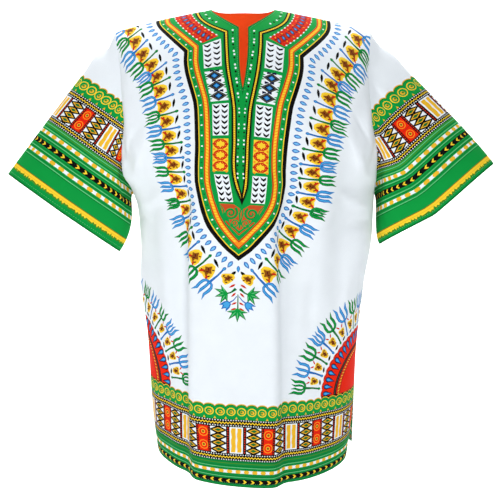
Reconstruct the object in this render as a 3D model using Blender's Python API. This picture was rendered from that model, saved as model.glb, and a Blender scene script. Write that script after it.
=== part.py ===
"""Dashiki shirt: a loose cotton pullover with short wide sleeves, open and hollow as it is worn.

Metres, +Z up. The front faces -Y. The origin is the middle of the shoulder line, level with the sides
of the neck, where the wearer's neck and shoulders hold the shirt up.

Each panel is a flat cloth, laid out in (u, v): u runs across from the centre line, v runs down from the
level of the neck sides. A panel's mapping puts a cloth point on the worn form.
"""

import math
from bisect import bisect_right
from collections import namedtuple

import bpy
import bmesh
from mathutils import Vector, kdtree

# Cloth. LEAST_MITRE limits how far a wall's point reaches where panels meet at a sharp angle.
CLOTH = 0.0015
SEAM_GAP = 0.0003
LEAST_MITRE = 0.6
SAME_POINT = 0.00001
SMOOTH_ANGLE = math.radians(50)

# Flat cut, metres
LENGTH = 0.835
PANEL_HALF_WIDTH = 0.295
SHOULDER_HALF_WIDTH = 0.222
SHOULDER_DROP = 0.047
NECK_HALF_WIDTH = 0.055
FRONT_NECK_DEPTH = 0.068
BACK_NECK_DEPTH = 0.030
FRONT_NECK_CURVE = 0.56
SLIT_END = 0.184
SLIT_CUT_END = 0.193
SLIT_HALF_WIDTH = 0.0076
SLIT_LEAST = 0.0009
ARMHOLE_END = 0.345
ARMHOLE_CURVE = 2.4
CHEST_START = 0.130
VENT_START = 0.735

# Worn form. CHEST_LEAN: how far the front lies forward as it leaves the shoulders.
# VENT_EDGE: the portion of a panel's half width, at its edge, that a vent's corner moves.
SHOULDER_REACH = 0.2110
SHOULDER_FALL = 0.037
SHOULDER_BEND = 0.15
NECK_ROUNDING = 0.02
CHEST_LEAN = 0.25
LEAST_YOKE = 0.02
EDGE_FADE = 0.03
VENT_SPREAD = 0.006
VENT_RELIEF = 0.004
VENT_EDGE = 0.18

# Rows and columns of the panels' nets. The columns pass from the neck's to the folds' between
# COLUMNS_TURN and COLUMNS_TURNED, places down the cloth.
ARMHOLE_ROWS = 13
BODY_ROWS = 20
NECK_COLUMNS = 3
MIDDLE_COLUMNS = 4
SIDE_COLUMNS = 8
FOLD_COLUMNS = 9
COLUMNS_TURN = 0.12
COLUMNS_TURNED = 0.28
SLEEVE_ROWS = 11
ARC_STEPS = 48
FOLD_STEPS = 32
TANGENT_STEP = 0.004

# Horizontal sections of the body, top to bottom. v: place down the cloth. left, middle, right: heights.
# half_width: centre to edge. edge: how far the panels' edges stand out at the armhole.
# front, back: depths at the middle. shift, forward: the section's centre, across and back. slide: how
# far the cloth's centre line lies beside the section's own middle. squareness: 2 is an ellipse.
Section = namedtuple(
    "Section", "v left middle right half_width edge front back shift forward slide squareness"
)
SECTIONS = (
    Section(0.090, -0.076, -0.046, -0.076, 0.2060, 0.032, 0.072, 0.090, 0.002, 0.000, 0.000, 2.0),
    Section(0.130, -0.112, -0.078, -0.112, 0.2010, 0.052, 0.098, 0.108, 0.003, 0.000, -0.002, 2.0),
    Section(0.200, -0.176, -0.140, -0.176, 0.2010, 0.066, 0.128, 0.122, 0.008, 0.000, -0.008, 2.05),
    Section(0.265, -0.236, -0.202, -0.236, 0.2100, 0.052, 0.143, 0.128, 0.011, 0.001, -0.013, 2.1),
    Section(0.310, -0.275, -0.248, -0.275, 0.2100, 0.028, 0.149, 0.130, 0.013, 0.003, -0.016, 2.1),
    Section(0.345, -0.305, -0.283, -0.305, 0.2055, 0.000, 0.150, 0.131, 0.0175, 0.004, -0.018, 2.15),
    Section(0.370, -0.330, -0.309, -0.330, 0.2015, 0.000, 0.149, 0.131, 0.0210, 0.005, -0.021, 2.15),
    Section(0.420, -0.378, -0.358, -0.378, 0.1990, 0.000, 0.145, 0.131, 0.022, 0.006, -0.026, 2.2),
    Section(0.510, -0.466, -0.450, -0.465, 0.1920, 0.000, 0.141, 0.131, 0.017, 0.008, -0.023, 2.2),
    Section(0.635, -0.585, -0.577, -0.580, 0.1825, 0.000, 0.138, 0.130, 0.016, 0.010, -0.024, 2.2),
    Section(0.745, -0.687, -0.688, -0.677, 0.1790, 0.000, 0.134, 0.129, 0.017, 0.010, -0.026, 2.15),
    Section(0.835, -0.769, -0.780, -0.750, 0.1730, 0.000, 0.1315, 0.128, 0.020, 0.010, -0.029, 2.1),
)
# Between the underarm and here, the side seams come free of the sections' own edges.
PIN_END = 0.420

# Pleat-like folds that the middle of a panel makes over its sides. side: -1 or 1. across: place from
# the centre line at each height. reach: half the cloth it takes up. turn: steepest turn, radians.
FoldStation = namedtuple("FoldStation", "v across turn")
Fold = namedtuple("Fold", "side reach stations")
FRONT_FOLDS = (
    Fold(-1, 0.022, (
        FoldStation(0.200, 0.084, 0.0),
        FoldStation(0.310, 0.085, 0.50),
        FoldStation(0.420, 0.086, 1.35),
        FoldStation(0.620, 0.089, 1.90),
        FoldStation(0.835, 0.093, 2.00),
    )),
    Fold(1, 0.022, (
        FoldStation(0.280, 0.056, 0.0),
        FoldStation(0.400, 0.059, 0.80),
        FoldStation(0.500, 0.071, 1.50),
        FoldStation(0.660, 0.081, 1.90),
        FoldStation(0.835, 0.085, 2.00),
    )),
)
BACK_FOLDS = (
    Fold(-1, 0.024, (
        FoldStation(0.240, 0.070, 0.0),
        FoldStation(0.520, 0.085, 0.90),
        FoldStation(0.835, 0.092, 1.30),
    )),
    Fold(1, 0.026, (
        FoldStation(0.220, 0.085, 0.0),
        FoldStation(0.500, 0.080, 0.80),
        FoldStation(0.835, 0.074, 1.20),
    )),
)

# Soft hollows and ridges. u, v: middle on the cloth. lean: how far it slants across per metre down.
# wide, long: its spread. out: how far it stands out (in, if negative).
Crease = namedtuple("Crease", "u v lean wide long out")
FRONT_CREASES = (
    Crease(0.185, 0.400, 0.10, 0.026, 0.110, -0.008),
    Crease(0.140, 0.380, 0.06, 0.024, 0.100, 0.006),
    Crease(0.235, 0.450, -0.12, 0.024, 0.100, 0.005),
    Crease(-0.190, 0.430, -0.10, 0.026, 0.120, -0.006),
    Crease(-0.235, 0.300, 0.30, 0.022, 0.050, 0.006),
    Crease(0.180, 0.700, 0.04, 0.030, 0.110, -0.005),
    Crease(-0.165, 0.700, -0.05, 0.026, 0.110, -0.005),
    Crease(0.010, 0.700, 0.02, 0.034, 0.120, -0.004),
)
BACK_CREASES = (
    Crease(-0.180, 0.420, -0.12, 0.028, 0.110, -0.008),
    Crease(0.190, 0.400, 0.10, 0.026, 0.120, -0.007),
    Crease(0.010, 0.600, -0.04, 0.034, 0.180, -0.007),
    Crease(0.190, 0.700, 0.06, 0.030, 0.110, -0.006),
    Crease(-0.180, 0.690, -0.05, 0.028, 0.120, 0.005),
)

# A sleeve's cuff, as a ring. outer, inner: its two corners. depth: half its depth. sag: how far the
# front ridge hangs past the corners. ridge: place of the ridge from outer to inner. dip: how far the
# sleeve head sinks just past the shoulder. tuck: how far the underside is pressed in at the body.
Sleeve = namedtuple("Sleeve", "name side outer inner depth sag ridge dip tuck")
SLEEVES = (
    Sleeve(
        "sleeve_left", -1, (-0.3950, -0.026, -0.2700), (-0.2125, -0.016, -0.4040),
        depth=0.046, sag=0.001, ridge=0.50, dip=0.010, tuck=1.1,
    ),
    Sleeve(
        "sleeve_right", 1, (0.4215, -0.022, -0.2530), (0.2345, -0.012, -0.3920),
        depth=0.048, sag=0.012, ridge=0.56, dip=0.005, tuck=0.0,
    ),
)
# The way a sleeve leaves the shoulder and the underarm (across, down), how strongly it follows that
# way and its cuff's own, and how far the cuff leans forward.
HEAD_WAY = (0.68, -0.74)
UNDER_WAY = (0.90, -0.44)
HEAD_PULL = 0.42
CUFF_PULL = 0.75
CUFF_LEAN = 0.20
# Where along a sleeve its head dips, and over what length, as portions of the sleeve.
DIP_PLACE = 0.13
DIP_LENGTH = 0.07
DIP_START = 0.05

# Each cloth's ground colour, linear, and roughness, and the piece that is cut from it
MATERIALS = {
    "printed_cotton_front": ((0.86, 0.90, 0.92), 0.85),
    "printed_cotton_back": ((0.82, 0.87, 0.89), 0.85),
    "printed_cotton_sleeves": ((0.02, 0.42, 0.09), 0.85),
}
CLOTH_OF = {
    "front_panel": "printed_cotton_front",
    "back_panel": "printed_cotton_back",
    "sleeve_left": "printed_cotton_sleeves",
    "sleeve_right": "printed_cotton_sleeves",
}


def smooth_between(xs, ys, x):
    """A value between table rows: cubic, with no overshoot (Fritsch and Carlson)."""
    if x <= xs[0]:
        return ys[0]
    if x >= xs[-1]:
        return ys[-1]
    steps = [(ys[i + 1] - ys[i]) / (xs[i + 1] - xs[i]) for i in range(len(xs) - 1)]

    def slope(i):
        if i == 0:
            return steps[0]
        if i == len(steps):
            return steps[-1]
        before, after = steps[i - 1], steps[i]
        return 0.0 if before * after <= 0.0 else 2.0 * before * after / (before + after)

    i = bisect_right(xs, x) - 1
    width = xs[i + 1] - xs[i]
    t = (x - xs[i]) / width
    rise = ys[i + 1] - ys[i]
    a = slope(i) * width
    b = slope(i + 1) * width
    return ys[i] + t * (a + t * ((3 * rise - 2 * a - b) + t * (a + b - 2 * rise)))


SECTION_COLUMNS = list(zip(*SECTIONS))


def section_at(v):
    """The body's section at a place down the cloth."""
    rows, *columns = SECTION_COLUMNS
    return Section(v, *(smooth_between(rows, column, v) for column in columns))


def arc_steps(half_width, depth, edge, squareness):
    """Points of a quarter of the section, middle to edge, with their distances along it."""
    points = []
    for i in range(ARC_STEPS + 1):
        angle = 0.5 * math.pi * i / ARC_STEPS
        across = half_width * math.sin(angle) ** (2.0 / squareness)
        out = edge + (depth - edge) * max(math.cos(angle), 0.0) ** (2.0 / squareness)
        points.append((across, out))
    lengths = [0.0]
    for (x0, y0), (x1, y1) in zip(points, points[1:]):
        lengths.append(lengths[-1] + math.hypot(x1 - x0, y1 - y0))
    return points, lengths


def flat_half_width(v):
    """Half the panel's width: the armhole runs straight down and then swings out to the side seam."""
    swing = min(max((v - CHEST_START) / (ARMHOLE_END - CHEST_START), 0.0), 1.0)
    return SHOULDER_HALF_WIDTH + (PANEL_HALF_WIDTH - SHOULDER_HALF_WIDTH) * swing ** ARMHOLE_CURVE


def past_neck(u):
    """Portion of the way from the neck side to the shoulder point, rounded off over the neck."""
    across = math.hypot(u, NECK_ROUNDING) - math.hypot(NECK_HALF_WIDTH, NECK_ROUNDING) + NECK_HALF_WIDTH
    return (across - NECK_HALF_WIDTH) / (SHOULDER_HALF_WIDTH - NECK_HALF_WIDTH)


def seam_top(u):
    """How far down the cloth the shoulder seam lies."""
    return SHOULDER_DROP * past_neck(u)


def ridge_point(u):
    """The shoulder line in space: it falls from the neck side to the shoulder point."""
    fall = past_neck(u)
    drop = SHOULDER_FALL * ((1.0 - SHOULDER_BEND) * fall + SHOULDER_BEND * max(fall, 0.0) ** 4)
    return Vector((SHOULDER_REACH * u / SHOULDER_HALF_WIDTH, 0.0, -drop))


def fold_state(folds, side, v):
    """(across, turn, reach) of the fold on one side at a place down the cloth."""
    for fold in folds:
        if fold.side == side:
            rows = [row.v for row in fold.stations]
            across = smooth_between(rows, [row.across for row in fold.stations], v)
            turn = smooth_between(rows, [row.turn for row in fold.stations], v)
            return across, turn, fold.reach
    return 0.0, 0.0, 0.0


def fold_path(turn):
    """A fold's own path from inside to outside, for a half reach of 1: (along, out) at each step."""
    path = [(0.0, 0.0)]
    step = 2.0 / FOLD_STEPS
    for i in range(FOLD_STEPS):
        middle = -1.0 + (i + 0.5) * step
        angle = turn * 0.5 * (1.0 + math.cos(math.pi * middle))
        along, out = path[-1]
        path.append((along + math.cos(angle) * step, out - math.sin(angle) * step))
    return path


def folded(u, state):
    """(distance along the unfolded section, height above the sides) of a cloth point near a fold."""
    across, turn, reach = state
    if turn <= 0.0:
        return abs(u), 0.0
    path = fold_path(turn)
    depth = -path[-1][1] * reach
    start = across - reach
    if abs(u) <= start:
        return abs(u), depth
    if abs(u) >= across + reach:
        return start + path[-1][0] * reach + (abs(u) - across - reach), 0.0
    place = (abs(u) - start) / (2.0 * reach) * (len(path) - 1)
    i = min(int(place), len(path) - 2)
    part = place - i
    along = path[i][0] + (path[i + 1][0] - path[i][0]) * part
    out = path[i][1] + (path[i + 1][1] - path[i][1]) * part
    return start + along * reach, depth + out * reach


def middle_height(u, left, right):
    """How far the cloth between the two folds stands out: it passes smoothly from one to the other."""
    from_left = folded(0.0, left)[1]
    from_right = folded(0.0, right)[1]
    start, end = -(left[0] - left[2]), right[0] - right[2]
    t = min(max((u - start) / (end - start), 0.0), 1.0)
    return from_left + (from_right - from_left) * t * t * (3.0 - 2.0 * t)


def crease_height(creases, u, v):
    """The soft hollows and ridges, summed."""
    total = 0.0
    for crease in creases:
        across = (u - crease.u - crease.lean * (v - crease.v)) / crease.wide
        down = (v - crease.v) / crease.long
        total += crease.out * math.exp(-across * across - down * down)
    return total


def ring_place(place, row, facing):
    """The point at a distance along the section from its middle, and the way out of the section there.

    Past an edge it goes round to the other side.
    """
    depth, other = (row.front, row.back) if facing < 0 else (row.back, row.front)
    points, lengths = arc_steps(row.half_width, depth, row.edge, row.squareness)
    side = -1 if place < 0.0 else 1
    way = 1
    distance = abs(place)
    if distance > lengths[-1]:
        over = distance - lengths[-1]
        points, lengths = arc_steps(row.half_width, other, row.edge, row.squareness)
        distance = lengths[-1] - over
        way = -1
    i = min(max(bisect_right(lengths, distance) - 1, 0), len(points) - 2)
    part = (distance - lengths[i]) / (lengths[i + 1] - lengths[i])
    (x0, y0), (x1, y1) = points[i], points[i + 1]
    (xa, ya), (xb, yb) = points[max(i - 1, 0)], points[min(i + 2, len(points) - 1)]
    out = Vector((-(yb - ya), (xb - xa))).normalized()
    x, y = x0 + (x1 - x0) * part, y0 + (y1 - y0) * part
    return Vector((side * x, facing * way * y)), Vector((side * out.x, facing * way * out.y))


def section_point(u, v, facing):
    """A cloth point below the shoulders. facing: -1 on the front, 1 on the back."""
    row = section_at(v)
    folds = FRONT_FOLDS if facing < 0 else BACK_FOLDS
    left, right = fold_state(folds, -1, v), fold_state(folds, 1, v)
    side, state = (-1, left) if u < 0.0 else (1, right)
    half = flat_half_width(v)
    along, raised = folded(u, state)
    if abs(u) <= state[0] - state[2]:
        raised = middle_height(u, left, right)
    portion = min(along / folded(half, state)[0], 1.0)
    depth = row.front if facing < 0 else row.back
    quarter = arc_steps(row.half_width, depth, row.edge, row.squareness)[1][-1]
    pin = min(max((PIN_END - v) / (PIN_END - ARMHOLE_END), 0.0), 1.0)
    slide = -facing * row.slide * (1.0 - pin * portion ** 2)
    place = side * quarter * portion + slide
    point, out = ring_place(place, row, facing)
    creases = FRONT_CREASES if facing < 0 else BACK_CREASES
    fade = min(max((half - abs(u)) / EDGE_FADE, 0.0), 1.0)
    point += out * (raised + crease_height(creases, u, v) * fade)
    edge = row.left if u < 0.0 else row.right
    z = row.middle + (edge - row.middle) * portion ** 2
    return Vector((row.shift + point.x, row.forward + point.y, z))


def curve_between(start, leaving, end, arriving, t):
    """A point on the cubic curve (Hermite) from start to end, with its direction at both ends."""
    first = 2 * t ** 3 - 3 * t ** 2 + 1
    third = t ** 3 - 2 * t ** 2 + t
    fourth = t ** 3 - t ** 2
    return start * first + leaving * third + end * (1.0 - first) + arriving * fourth


def panel_point(u, v, facing):
    """A cloth point of the front or the back on the worn form."""
    if v >= CHEST_START:
        return section_point(u, v, facing)
    top = min(seam_top(u), CHEST_START - LEAST_YOKE)
    end = section_point(u, CHEST_START, facing)
    span = CHEST_START - top
    lean = CHEST_LEAN if facing < 0 else 0.0
    leaving = Vector((0.0, facing, -lean)) * span
    arriving = (section_point(u, CHEST_START + TANGENT_STEP, facing) - end) * (span / TANGENT_STEP)
    return curve_between(ridge_point(u), leaving, end, arriving, (v - top) / span)


def vent_open(u, v, point, facing):
    """Moves the corners of a side vent apart: the front one in and forward, the back one out."""
    half = flat_half_width(v)
    down = min(max((v - VENT_START) / (LENGTH - VENT_START), 0.0), 1.0)
    near = min(max((abs(u) / half - 1.0 + VENT_EDGE) / VENT_EDGE, 0.0), 1.0)
    amount = down ** 1.5 * near ** 2
    side = -1 if u < 0.0 else 1
    inward = VENT_SPREAD if facing < 0 else -0.5 * VENT_SPREAD
    return point + Vector((-side * inward * amount, facing * VENT_RELIEF * amount, 0.0))


def neck_edge(u, facing):
    """How far down the cloth the neckline lies at a place across it."""
    if facing > 0:
        portion = min(abs(u) / NECK_HALF_WIDTH, 1.0)
        return BACK_NECK_DEPTH * (1.0 - portion ** 4) ** 0.5
    portion = min(max(abs(u) - SLIT_HALF_WIDTH, 0.0) / (NECK_HALF_WIDTH - SLIT_HALF_WIDTH), 1.0)
    return FRONT_NECK_DEPTH * (1.0 - portion) ** FRONT_NECK_CURVE


def slit_half_width(v):
    """The slit narrows to a point."""
    down = min(max((v - FRONT_NECK_DEPTH) / (SLIT_END - FRONT_NECK_DEPTH), 0.0), 1.0)
    return SLIT_HALF_WIDTH * (1.0 - down ** 3)


def spread(start, end, count):
    """Evenly spaced values from start to end, with the start left out."""
    return [start + (end - start) * (i + 1) / count for i in range(count)]


def panel_columns(v, facing):
    """Places across the panel at one height, left to right. Below the neck they follow the folds.

    The front has two columns beside its centre line, one on each edge of the slit.
    """
    half = flat_half_width(v)
    first = max(slit_half_width(v), SLIT_LEAST) if facing < 0 else 0.0
    folds = FRONT_FOLDS if facing < 0 else BACK_FOLDS
    turned = min(max((v - COLUMNS_TURN) / (COLUMNS_TURNED - COLUMNS_TURN), 0.0), 1.0)
    turned = turned * turned * (3.0 - 2.0 * turned)
    halves = []
    for side in (-1, 1):
        across, turn, reach = fold_state(folds, side, v)
        low = [first] + spread(first, across - reach, MIDDLE_COLUMNS)
        low += spread(across - reach, across + reach, FOLD_COLUMNS)
        low += spread(across + reach, half, SIDE_COLUMNS)
        rest = len(low) - NECK_COLUMNS - 1
        high = [first] + spread(first, NECK_HALF_WIDTH, NECK_COLUMNS) + spread(NECK_HALF_WIDTH, half, rest)
        halves.append([side * (a + (b - a) * turned) for a, b in zip(high, low)])
    left, right = halves
    return left[::-1] + (right if facing < 0 else right[1:])


def panel_net(facing):
    """The panel's grid of (u, v), a list of rows of equal length."""
    rows = []
    for portion in [0.0] + spread(0.0, 1.0, ARMHOLE_ROWS):
        level = SHOULDER_DROP + (ARMHOLE_END - SHOULDER_DROP) * portion
        row = []
        for u in panel_columns(level, facing):
            top = neck_edge(u, facing) if abs(u) < NECK_HALF_WIDTH else seam_top(u)
            row.append((u, top + (ARMHOLE_END - top) * portion))
        rows.append(row)
    for level in spread(ARMHOLE_END, LENGTH, BODY_ROWS):
        rows.append([(u, level) for u in panel_columns(level, facing)])
    return rows


def grid_mesh(name, across, down):
    """A grid of across by down points from Blender's own primitive, its points sorted row by row."""
    bpy.ops.mesh.primitive_grid_add(x_subdivisions=across - 1, y_subdivisions=down - 1, size=1.0)
    grid = bpy.context.object
    grid.name = name
    net = bmesh.new()
    net.from_mesh(grid.data)
    order = sorted(net.verts, key=lambda vert: (-round(vert.co.y, 5), round(vert.co.x, 5)))
    for index, vert in enumerate(order):
        vert.index = index
    net.verts.sort()
    return grid, net


def panel_surface(name, facing):
    """The open surface of the front or back, with the slit cut in the front."""
    rows = panel_net(facing)
    across, down = len(rows[0]), len(rows)
    grid, net = grid_mesh(name, across, down)
    net.verts.ensure_lookup_table()
    for i, row in enumerate(rows):
        for j, (u, v) in enumerate(row):
            point = panel_point(u, v, facing)
            net.verts[i * across + j].co = vent_open(u, v, point, facing)
    if facing < 0:
        middle = across // 2
        cut = []
        for face in net.faces:
            columns = {vert.index % across for vert in face.verts}
            places = [rows[vert.index // across][vert.index % across][1] for vert in face.verts]
            if columns == {middle - 1, middle} and max(places) < SLIT_CUT_END:
                cut.append(face)
        bmesh.ops.delete(net, geom=cut, context="FACES")
    if facing > 0:
        bmesh.ops.reverse_faces(net, faces=net.faces)
    return grid, net


def armhole_ring(side):
    """The armhole's points, from the shoulder down the front to the underarm and up the back."""
    front = [row[-1 if side > 0 else 0] for row in panel_net(-1)[: ARMHOLE_ROWS + 1]]
    down = [panel_point(u, v, -1) for u, v in front]
    up = [panel_point(u, v, 1) for u, v in reversed(front[:-1])]
    return down + up[:-1]


def cuff_ring(sleeve, portions):
    """The cuff's points for places round the tube: 0 at the outer corner, 0.5 at the inner one."""
    outer, inner = Vector(sleeve.outer), Vector(sleeve.inner)
    centre = (outer + inner) / 2
    across = (outer - inner) / 2
    axis = cuff_axis(sleeve)
    out = axis.cross(across).normalized() * sleeve.depth
    if out.y > 0.0:
        out = -out
    ring = []
    for portion in portions:
        angle = 2.0 * math.pi * portion
        place = 0.5 - 0.5 * math.cos(angle)
        point = centre + across * math.cos(angle) + out * math.sin(angle)
        reach = sleeve.ridge if place < sleeve.ridge else 1.0 - sleeve.ridge
        near = 1.0 - abs(place - sleeve.ridge) / reach
        front = max(math.sin(angle), 0.0)
        ring.append(point + axis * sleeve.sag * near * front)
    return ring


def cuff_axis(sleeve):
    """The way a sleeve points at its cuff: square to the cuff, out, down and a little forward."""
    outer, inner = Vector(sleeve.outer), Vector(sleeve.inner)
    along = (inner - outer).normalized()
    down = Vector((abs(along.z) * sleeve.side, -CUFF_LEAN, -abs(along.x)))
    return (down - along * down.dot(along)).normalized()


def sleeve_path(sleeve, start, end, axis, portion, t):
    """A point on the line down the sleeve from an armhole point to its cuff point."""
    span = (end - start).length
    turn = math.cos(2.0 * math.pi * portion)
    under = 0.5 - 0.5 * turn
    head_way = Vector((sleeve.side * HEAD_WAY[0], 0.0, HEAD_WAY[1]))
    under_way = Vector((sleeve.side * UNDER_WAY[0], 0.0, UNDER_WAY[1]))
    leaving = head_way.lerp(under_way, under ** 4) * span * HEAD_PULL
    arriving = axis * span * (CUFF_PULL + sleeve.tuck * under ** 6)
    point = curve_between(start, leaving, end, arriving, t)
    near = math.exp(-((t - DIP_PLACE) / DIP_LENGTH) ** 2) * min(t / DIP_START, 1.0)
    return point - Vector((0.0, 0.0, sleeve.dip * near * max(turn, 0.0) ** 2))


def sleeve_surface(sleeve):
    """A tube from the armhole to the cuff: it leaves the body outwards and bends down to the cuff."""
    head = armhole_ring(sleeve.side)
    count = len(head)
    portions = [i / count for i in range(count)]
    cuff = cuff_ring(sleeve, portions)
    axis = cuff_axis(sleeve)
    net = bmesh.new()
    tube = bpy.data.objects.new(sleeve.name, bpy.data.meshes.new(sleeve.name))
    rings = []
    for t in [0.0] + spread(0.0, 1.0, SLEEVE_ROWS):
        ring = []
        for start, end, portion in zip(head, cuff, portions):
            ring.append(net.verts.new(sleeve_path(sleeve, start, end, axis, portion, t)))
        rings.append(ring)
    for upper, lower in zip(rings, rings[1:]):
        for j in range(count):
            k = (j + 1) % count
            net.faces.new((upper[j], upper[k], lower[k], lower[j]))
    if sleeve.side < 0:
        bmesh.ops.reverse_faces(net, faces=net.faces)
    return tube, net


def own_normals(net):
    """Each point's outward direction on its own panel, weighted by face area."""
    normals = {}
    for vert in net.verts:
        faces = [face.normal * face.calc_area() for face in vert.link_faces]
        normals[vert] = sum(faces, Vector()).normalized()
    return normals


def seam_mitres(groups):
    """Finds the mitre at a point: the mean outward direction of the panels that meet there.

    The body's panels form one group and the sleeves the other, and each group counts once.
    """
    entries = []
    for group, nets in enumerate(groups):
        for net in nets:
            entries += [(vert.co.copy(), group, normal) for vert, normal in own_normals(net).items()]
    tree = kdtree.KDTree(len(entries))
    for index, (place, group, normal) in enumerate(entries):
        tree.insert(place, index)
    tree.balance()

    def mitre(point):
        means = [Vector() for group in groups]
        for place, index, distance in tree.find_range(point, SAME_POINT):
            means[entries[index][1]] += entries[index][2]
        return sum((mean.normalized() for mean in means), Vector()).normalized()

    return mitre


def rim_step(vert, mitre):
    """The short step that opens the seam: square to the mitre and to the edge, towards the panel."""
    edges = [edge for edge in vert.link_edges if edge.is_boundary]
    ends = [edge.other_vert(vert).co for edge in edges]
    along = ends[0] - ends[1]
    middle = sum((face.calc_center_median() for face in vert.link_faces), Vector()) / len(vert.link_faces)
    step = mitre.cross(along).normalized()
    return step * math.copysign(SEAM_GAP / 2, step.dot(middle - vert.co))


def wall(piece, net, mitre_at):
    """Thickens an open surface both ways; where panels meet, their walls end in one mitre plane.

    Both panels of a seam split the narrow faces of their rims along the same diagonal.
    """
    solid = bmesh.new()
    outer, inner = {}, {}
    for vert, normal in own_normals(net).items():
        place, way = vert.co.copy(), normal
        if vert.is_boundary:
            mitre = mitre_at(vert.co)
            way = mitre / max(mitre.dot(normal), LEAST_MITRE)
            place += rim_step(vert, mitre)
        outer[vert] = solid.verts.new(place + way * CLOTH / 2)
        inner[vert] = solid.verts.new(place - way * CLOTH / 2)
    for face in net.faces:
        solid.faces.new([outer[vert] for vert in face.verts])
        solid.faces.new([inner[vert] for vert in reversed(face.verts)])
    for edge in net.edges:
        if not edge.is_boundary:
            continue
        loop = edge.link_loops[0]
        a, b = loop.vert, loop.link_loop_next.vert
        if tuple(a.co) < tuple(b.co):
            rim = (outer[b], outer[a], inner[a]), (outer[b], inner[a], inner[b])
        else:
            rim = (outer[b], outer[a], inner[b]), (outer[a], inner[a], inner[b])
        for corners in rim:
            solid.faces.new(corners)
    solid.to_mesh(piece.data)
    solid.free()


def cotton(name):
    """Plain woven cotton in the ground colour of its print."""
    colour, roughness = MATERIALS[name]
    material = bpy.data.materials.new(name)
    material.use_nodes = True
    shader = material.node_tree.nodes["Principled BSDF"]
    shader.inputs["Base Color"].default_value = (*colour, 1.0)
    shader.inputs["Roughness"].default_value = roughness
    shader.inputs["Metallic"].default_value = 0.0
    material.diffuse_color = (*colour, 1.0)
    return material


def clear_scene():
    for obj in list(bpy.data.objects):
        bpy.data.objects.remove(obj, do_unlink=True)


def build():
    clear_scene()
    shirt = bpy.data.collections.new("dashiki_shirt")
    bpy.context.scene.collection.children.link(shirt)
    body = [panel_surface("front_panel", -1), panel_surface("back_panel", 1)]
    sleeves = [sleeve_surface(sleeve) for sleeve in SLEEVES]
    for piece, net in body + sleeves:
        bmesh.ops.triangulate(net, faces=net.faces, quad_method="SHORT_EDGE")
        net.normal_update()
    mitre_at = seam_mitres([[net for piece, net in group] for group in (body, sleeves)])
    cloths = {name: cotton(name) for name in MATERIALS}
    for piece, net in body + sleeves:
        wall(piece, net, mitre_at)
        net.free()
        for collection in list(piece.users_collection):
            collection.objects.unlink(piece)
        shirt.objects.link(piece)
        piece.data.materials.clear()
        piece.data.materials.append(cloths[CLOTH_OF[piece.name]])
        piece.data.shade_smooth()
        piece.data.set_sharp_from_angle(angle=SMOOTH_ANGLE)


build()
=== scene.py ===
"""Dashiki shirt in printed cotton, hung open and hollow as it is worn."""

import math
from bisect import bisect_right
from collections import namedtuple
from functools import lru_cache

import bpy
import numpy as np
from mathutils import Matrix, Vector
from mathutils.geometry import delaunay_2d_cdt


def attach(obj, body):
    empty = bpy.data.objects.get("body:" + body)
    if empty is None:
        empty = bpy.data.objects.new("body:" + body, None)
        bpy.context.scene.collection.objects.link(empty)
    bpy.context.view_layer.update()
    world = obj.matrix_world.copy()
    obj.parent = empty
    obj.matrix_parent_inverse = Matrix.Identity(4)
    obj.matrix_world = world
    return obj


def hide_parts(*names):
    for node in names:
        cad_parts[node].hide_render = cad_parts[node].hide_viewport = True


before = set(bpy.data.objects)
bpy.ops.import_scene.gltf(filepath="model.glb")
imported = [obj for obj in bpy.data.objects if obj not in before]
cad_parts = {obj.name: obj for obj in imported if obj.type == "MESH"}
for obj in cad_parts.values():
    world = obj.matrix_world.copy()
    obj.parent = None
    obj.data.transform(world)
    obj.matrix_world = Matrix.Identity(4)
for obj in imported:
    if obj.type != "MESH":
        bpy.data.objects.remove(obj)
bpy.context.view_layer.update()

bl_info = {
    "name": "Dashiki Shirt",
    "version": (1, 0, 0),
    "blender": (4, 5, 0),
    "location": "3D View > Sidebar > Dashiki",
    "description": "Builds a loose cotton dashiki shirt with its print, folds and stitching",
    "category": "Add Mesh",
}

MM = 0.001
TAU = 2.0 * math.pi

# ---- the cut and the worn form, metres
LENGTH = 0.835
PANEL_HALF_WIDTH = 0.295
SHOULDER_HALF_WIDTH = 0.222
SHOULDER_DROP = 0.047
NECK_HALF_WIDTH = 0.055
FRONT_NECK_DEPTH = 0.068
BACK_NECK_DEPTH = 0.030
FRONT_NECK_CURVE = 0.56
SLIT_END = 0.184
SLIT_HALF_WIDTH = 0.0076
ARMHOLE_END = 0.345
ARMHOLE_CURVE = 2.4
CHEST_START = 0.130
VENT_START = 0.735
SHOULDER_REACH = 0.2110
SHOULDER_FALL = 0.037
SHOULDER_BEND = 0.15
NECK_ROUNDING = 0.02
CHEST_LEAN = 0.25
LEAST_YOKE = 0.02
EDGE_FADE = 0.03
VENT_SPREAD = 0.006
VENT_RELIEF = 0.004
VENT_EDGE = 0.18
ARC_STEPS = 48
FOLD_STEPS = 32
TANGENT_STEP = 0.004
PIN_END = 0.420

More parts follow.
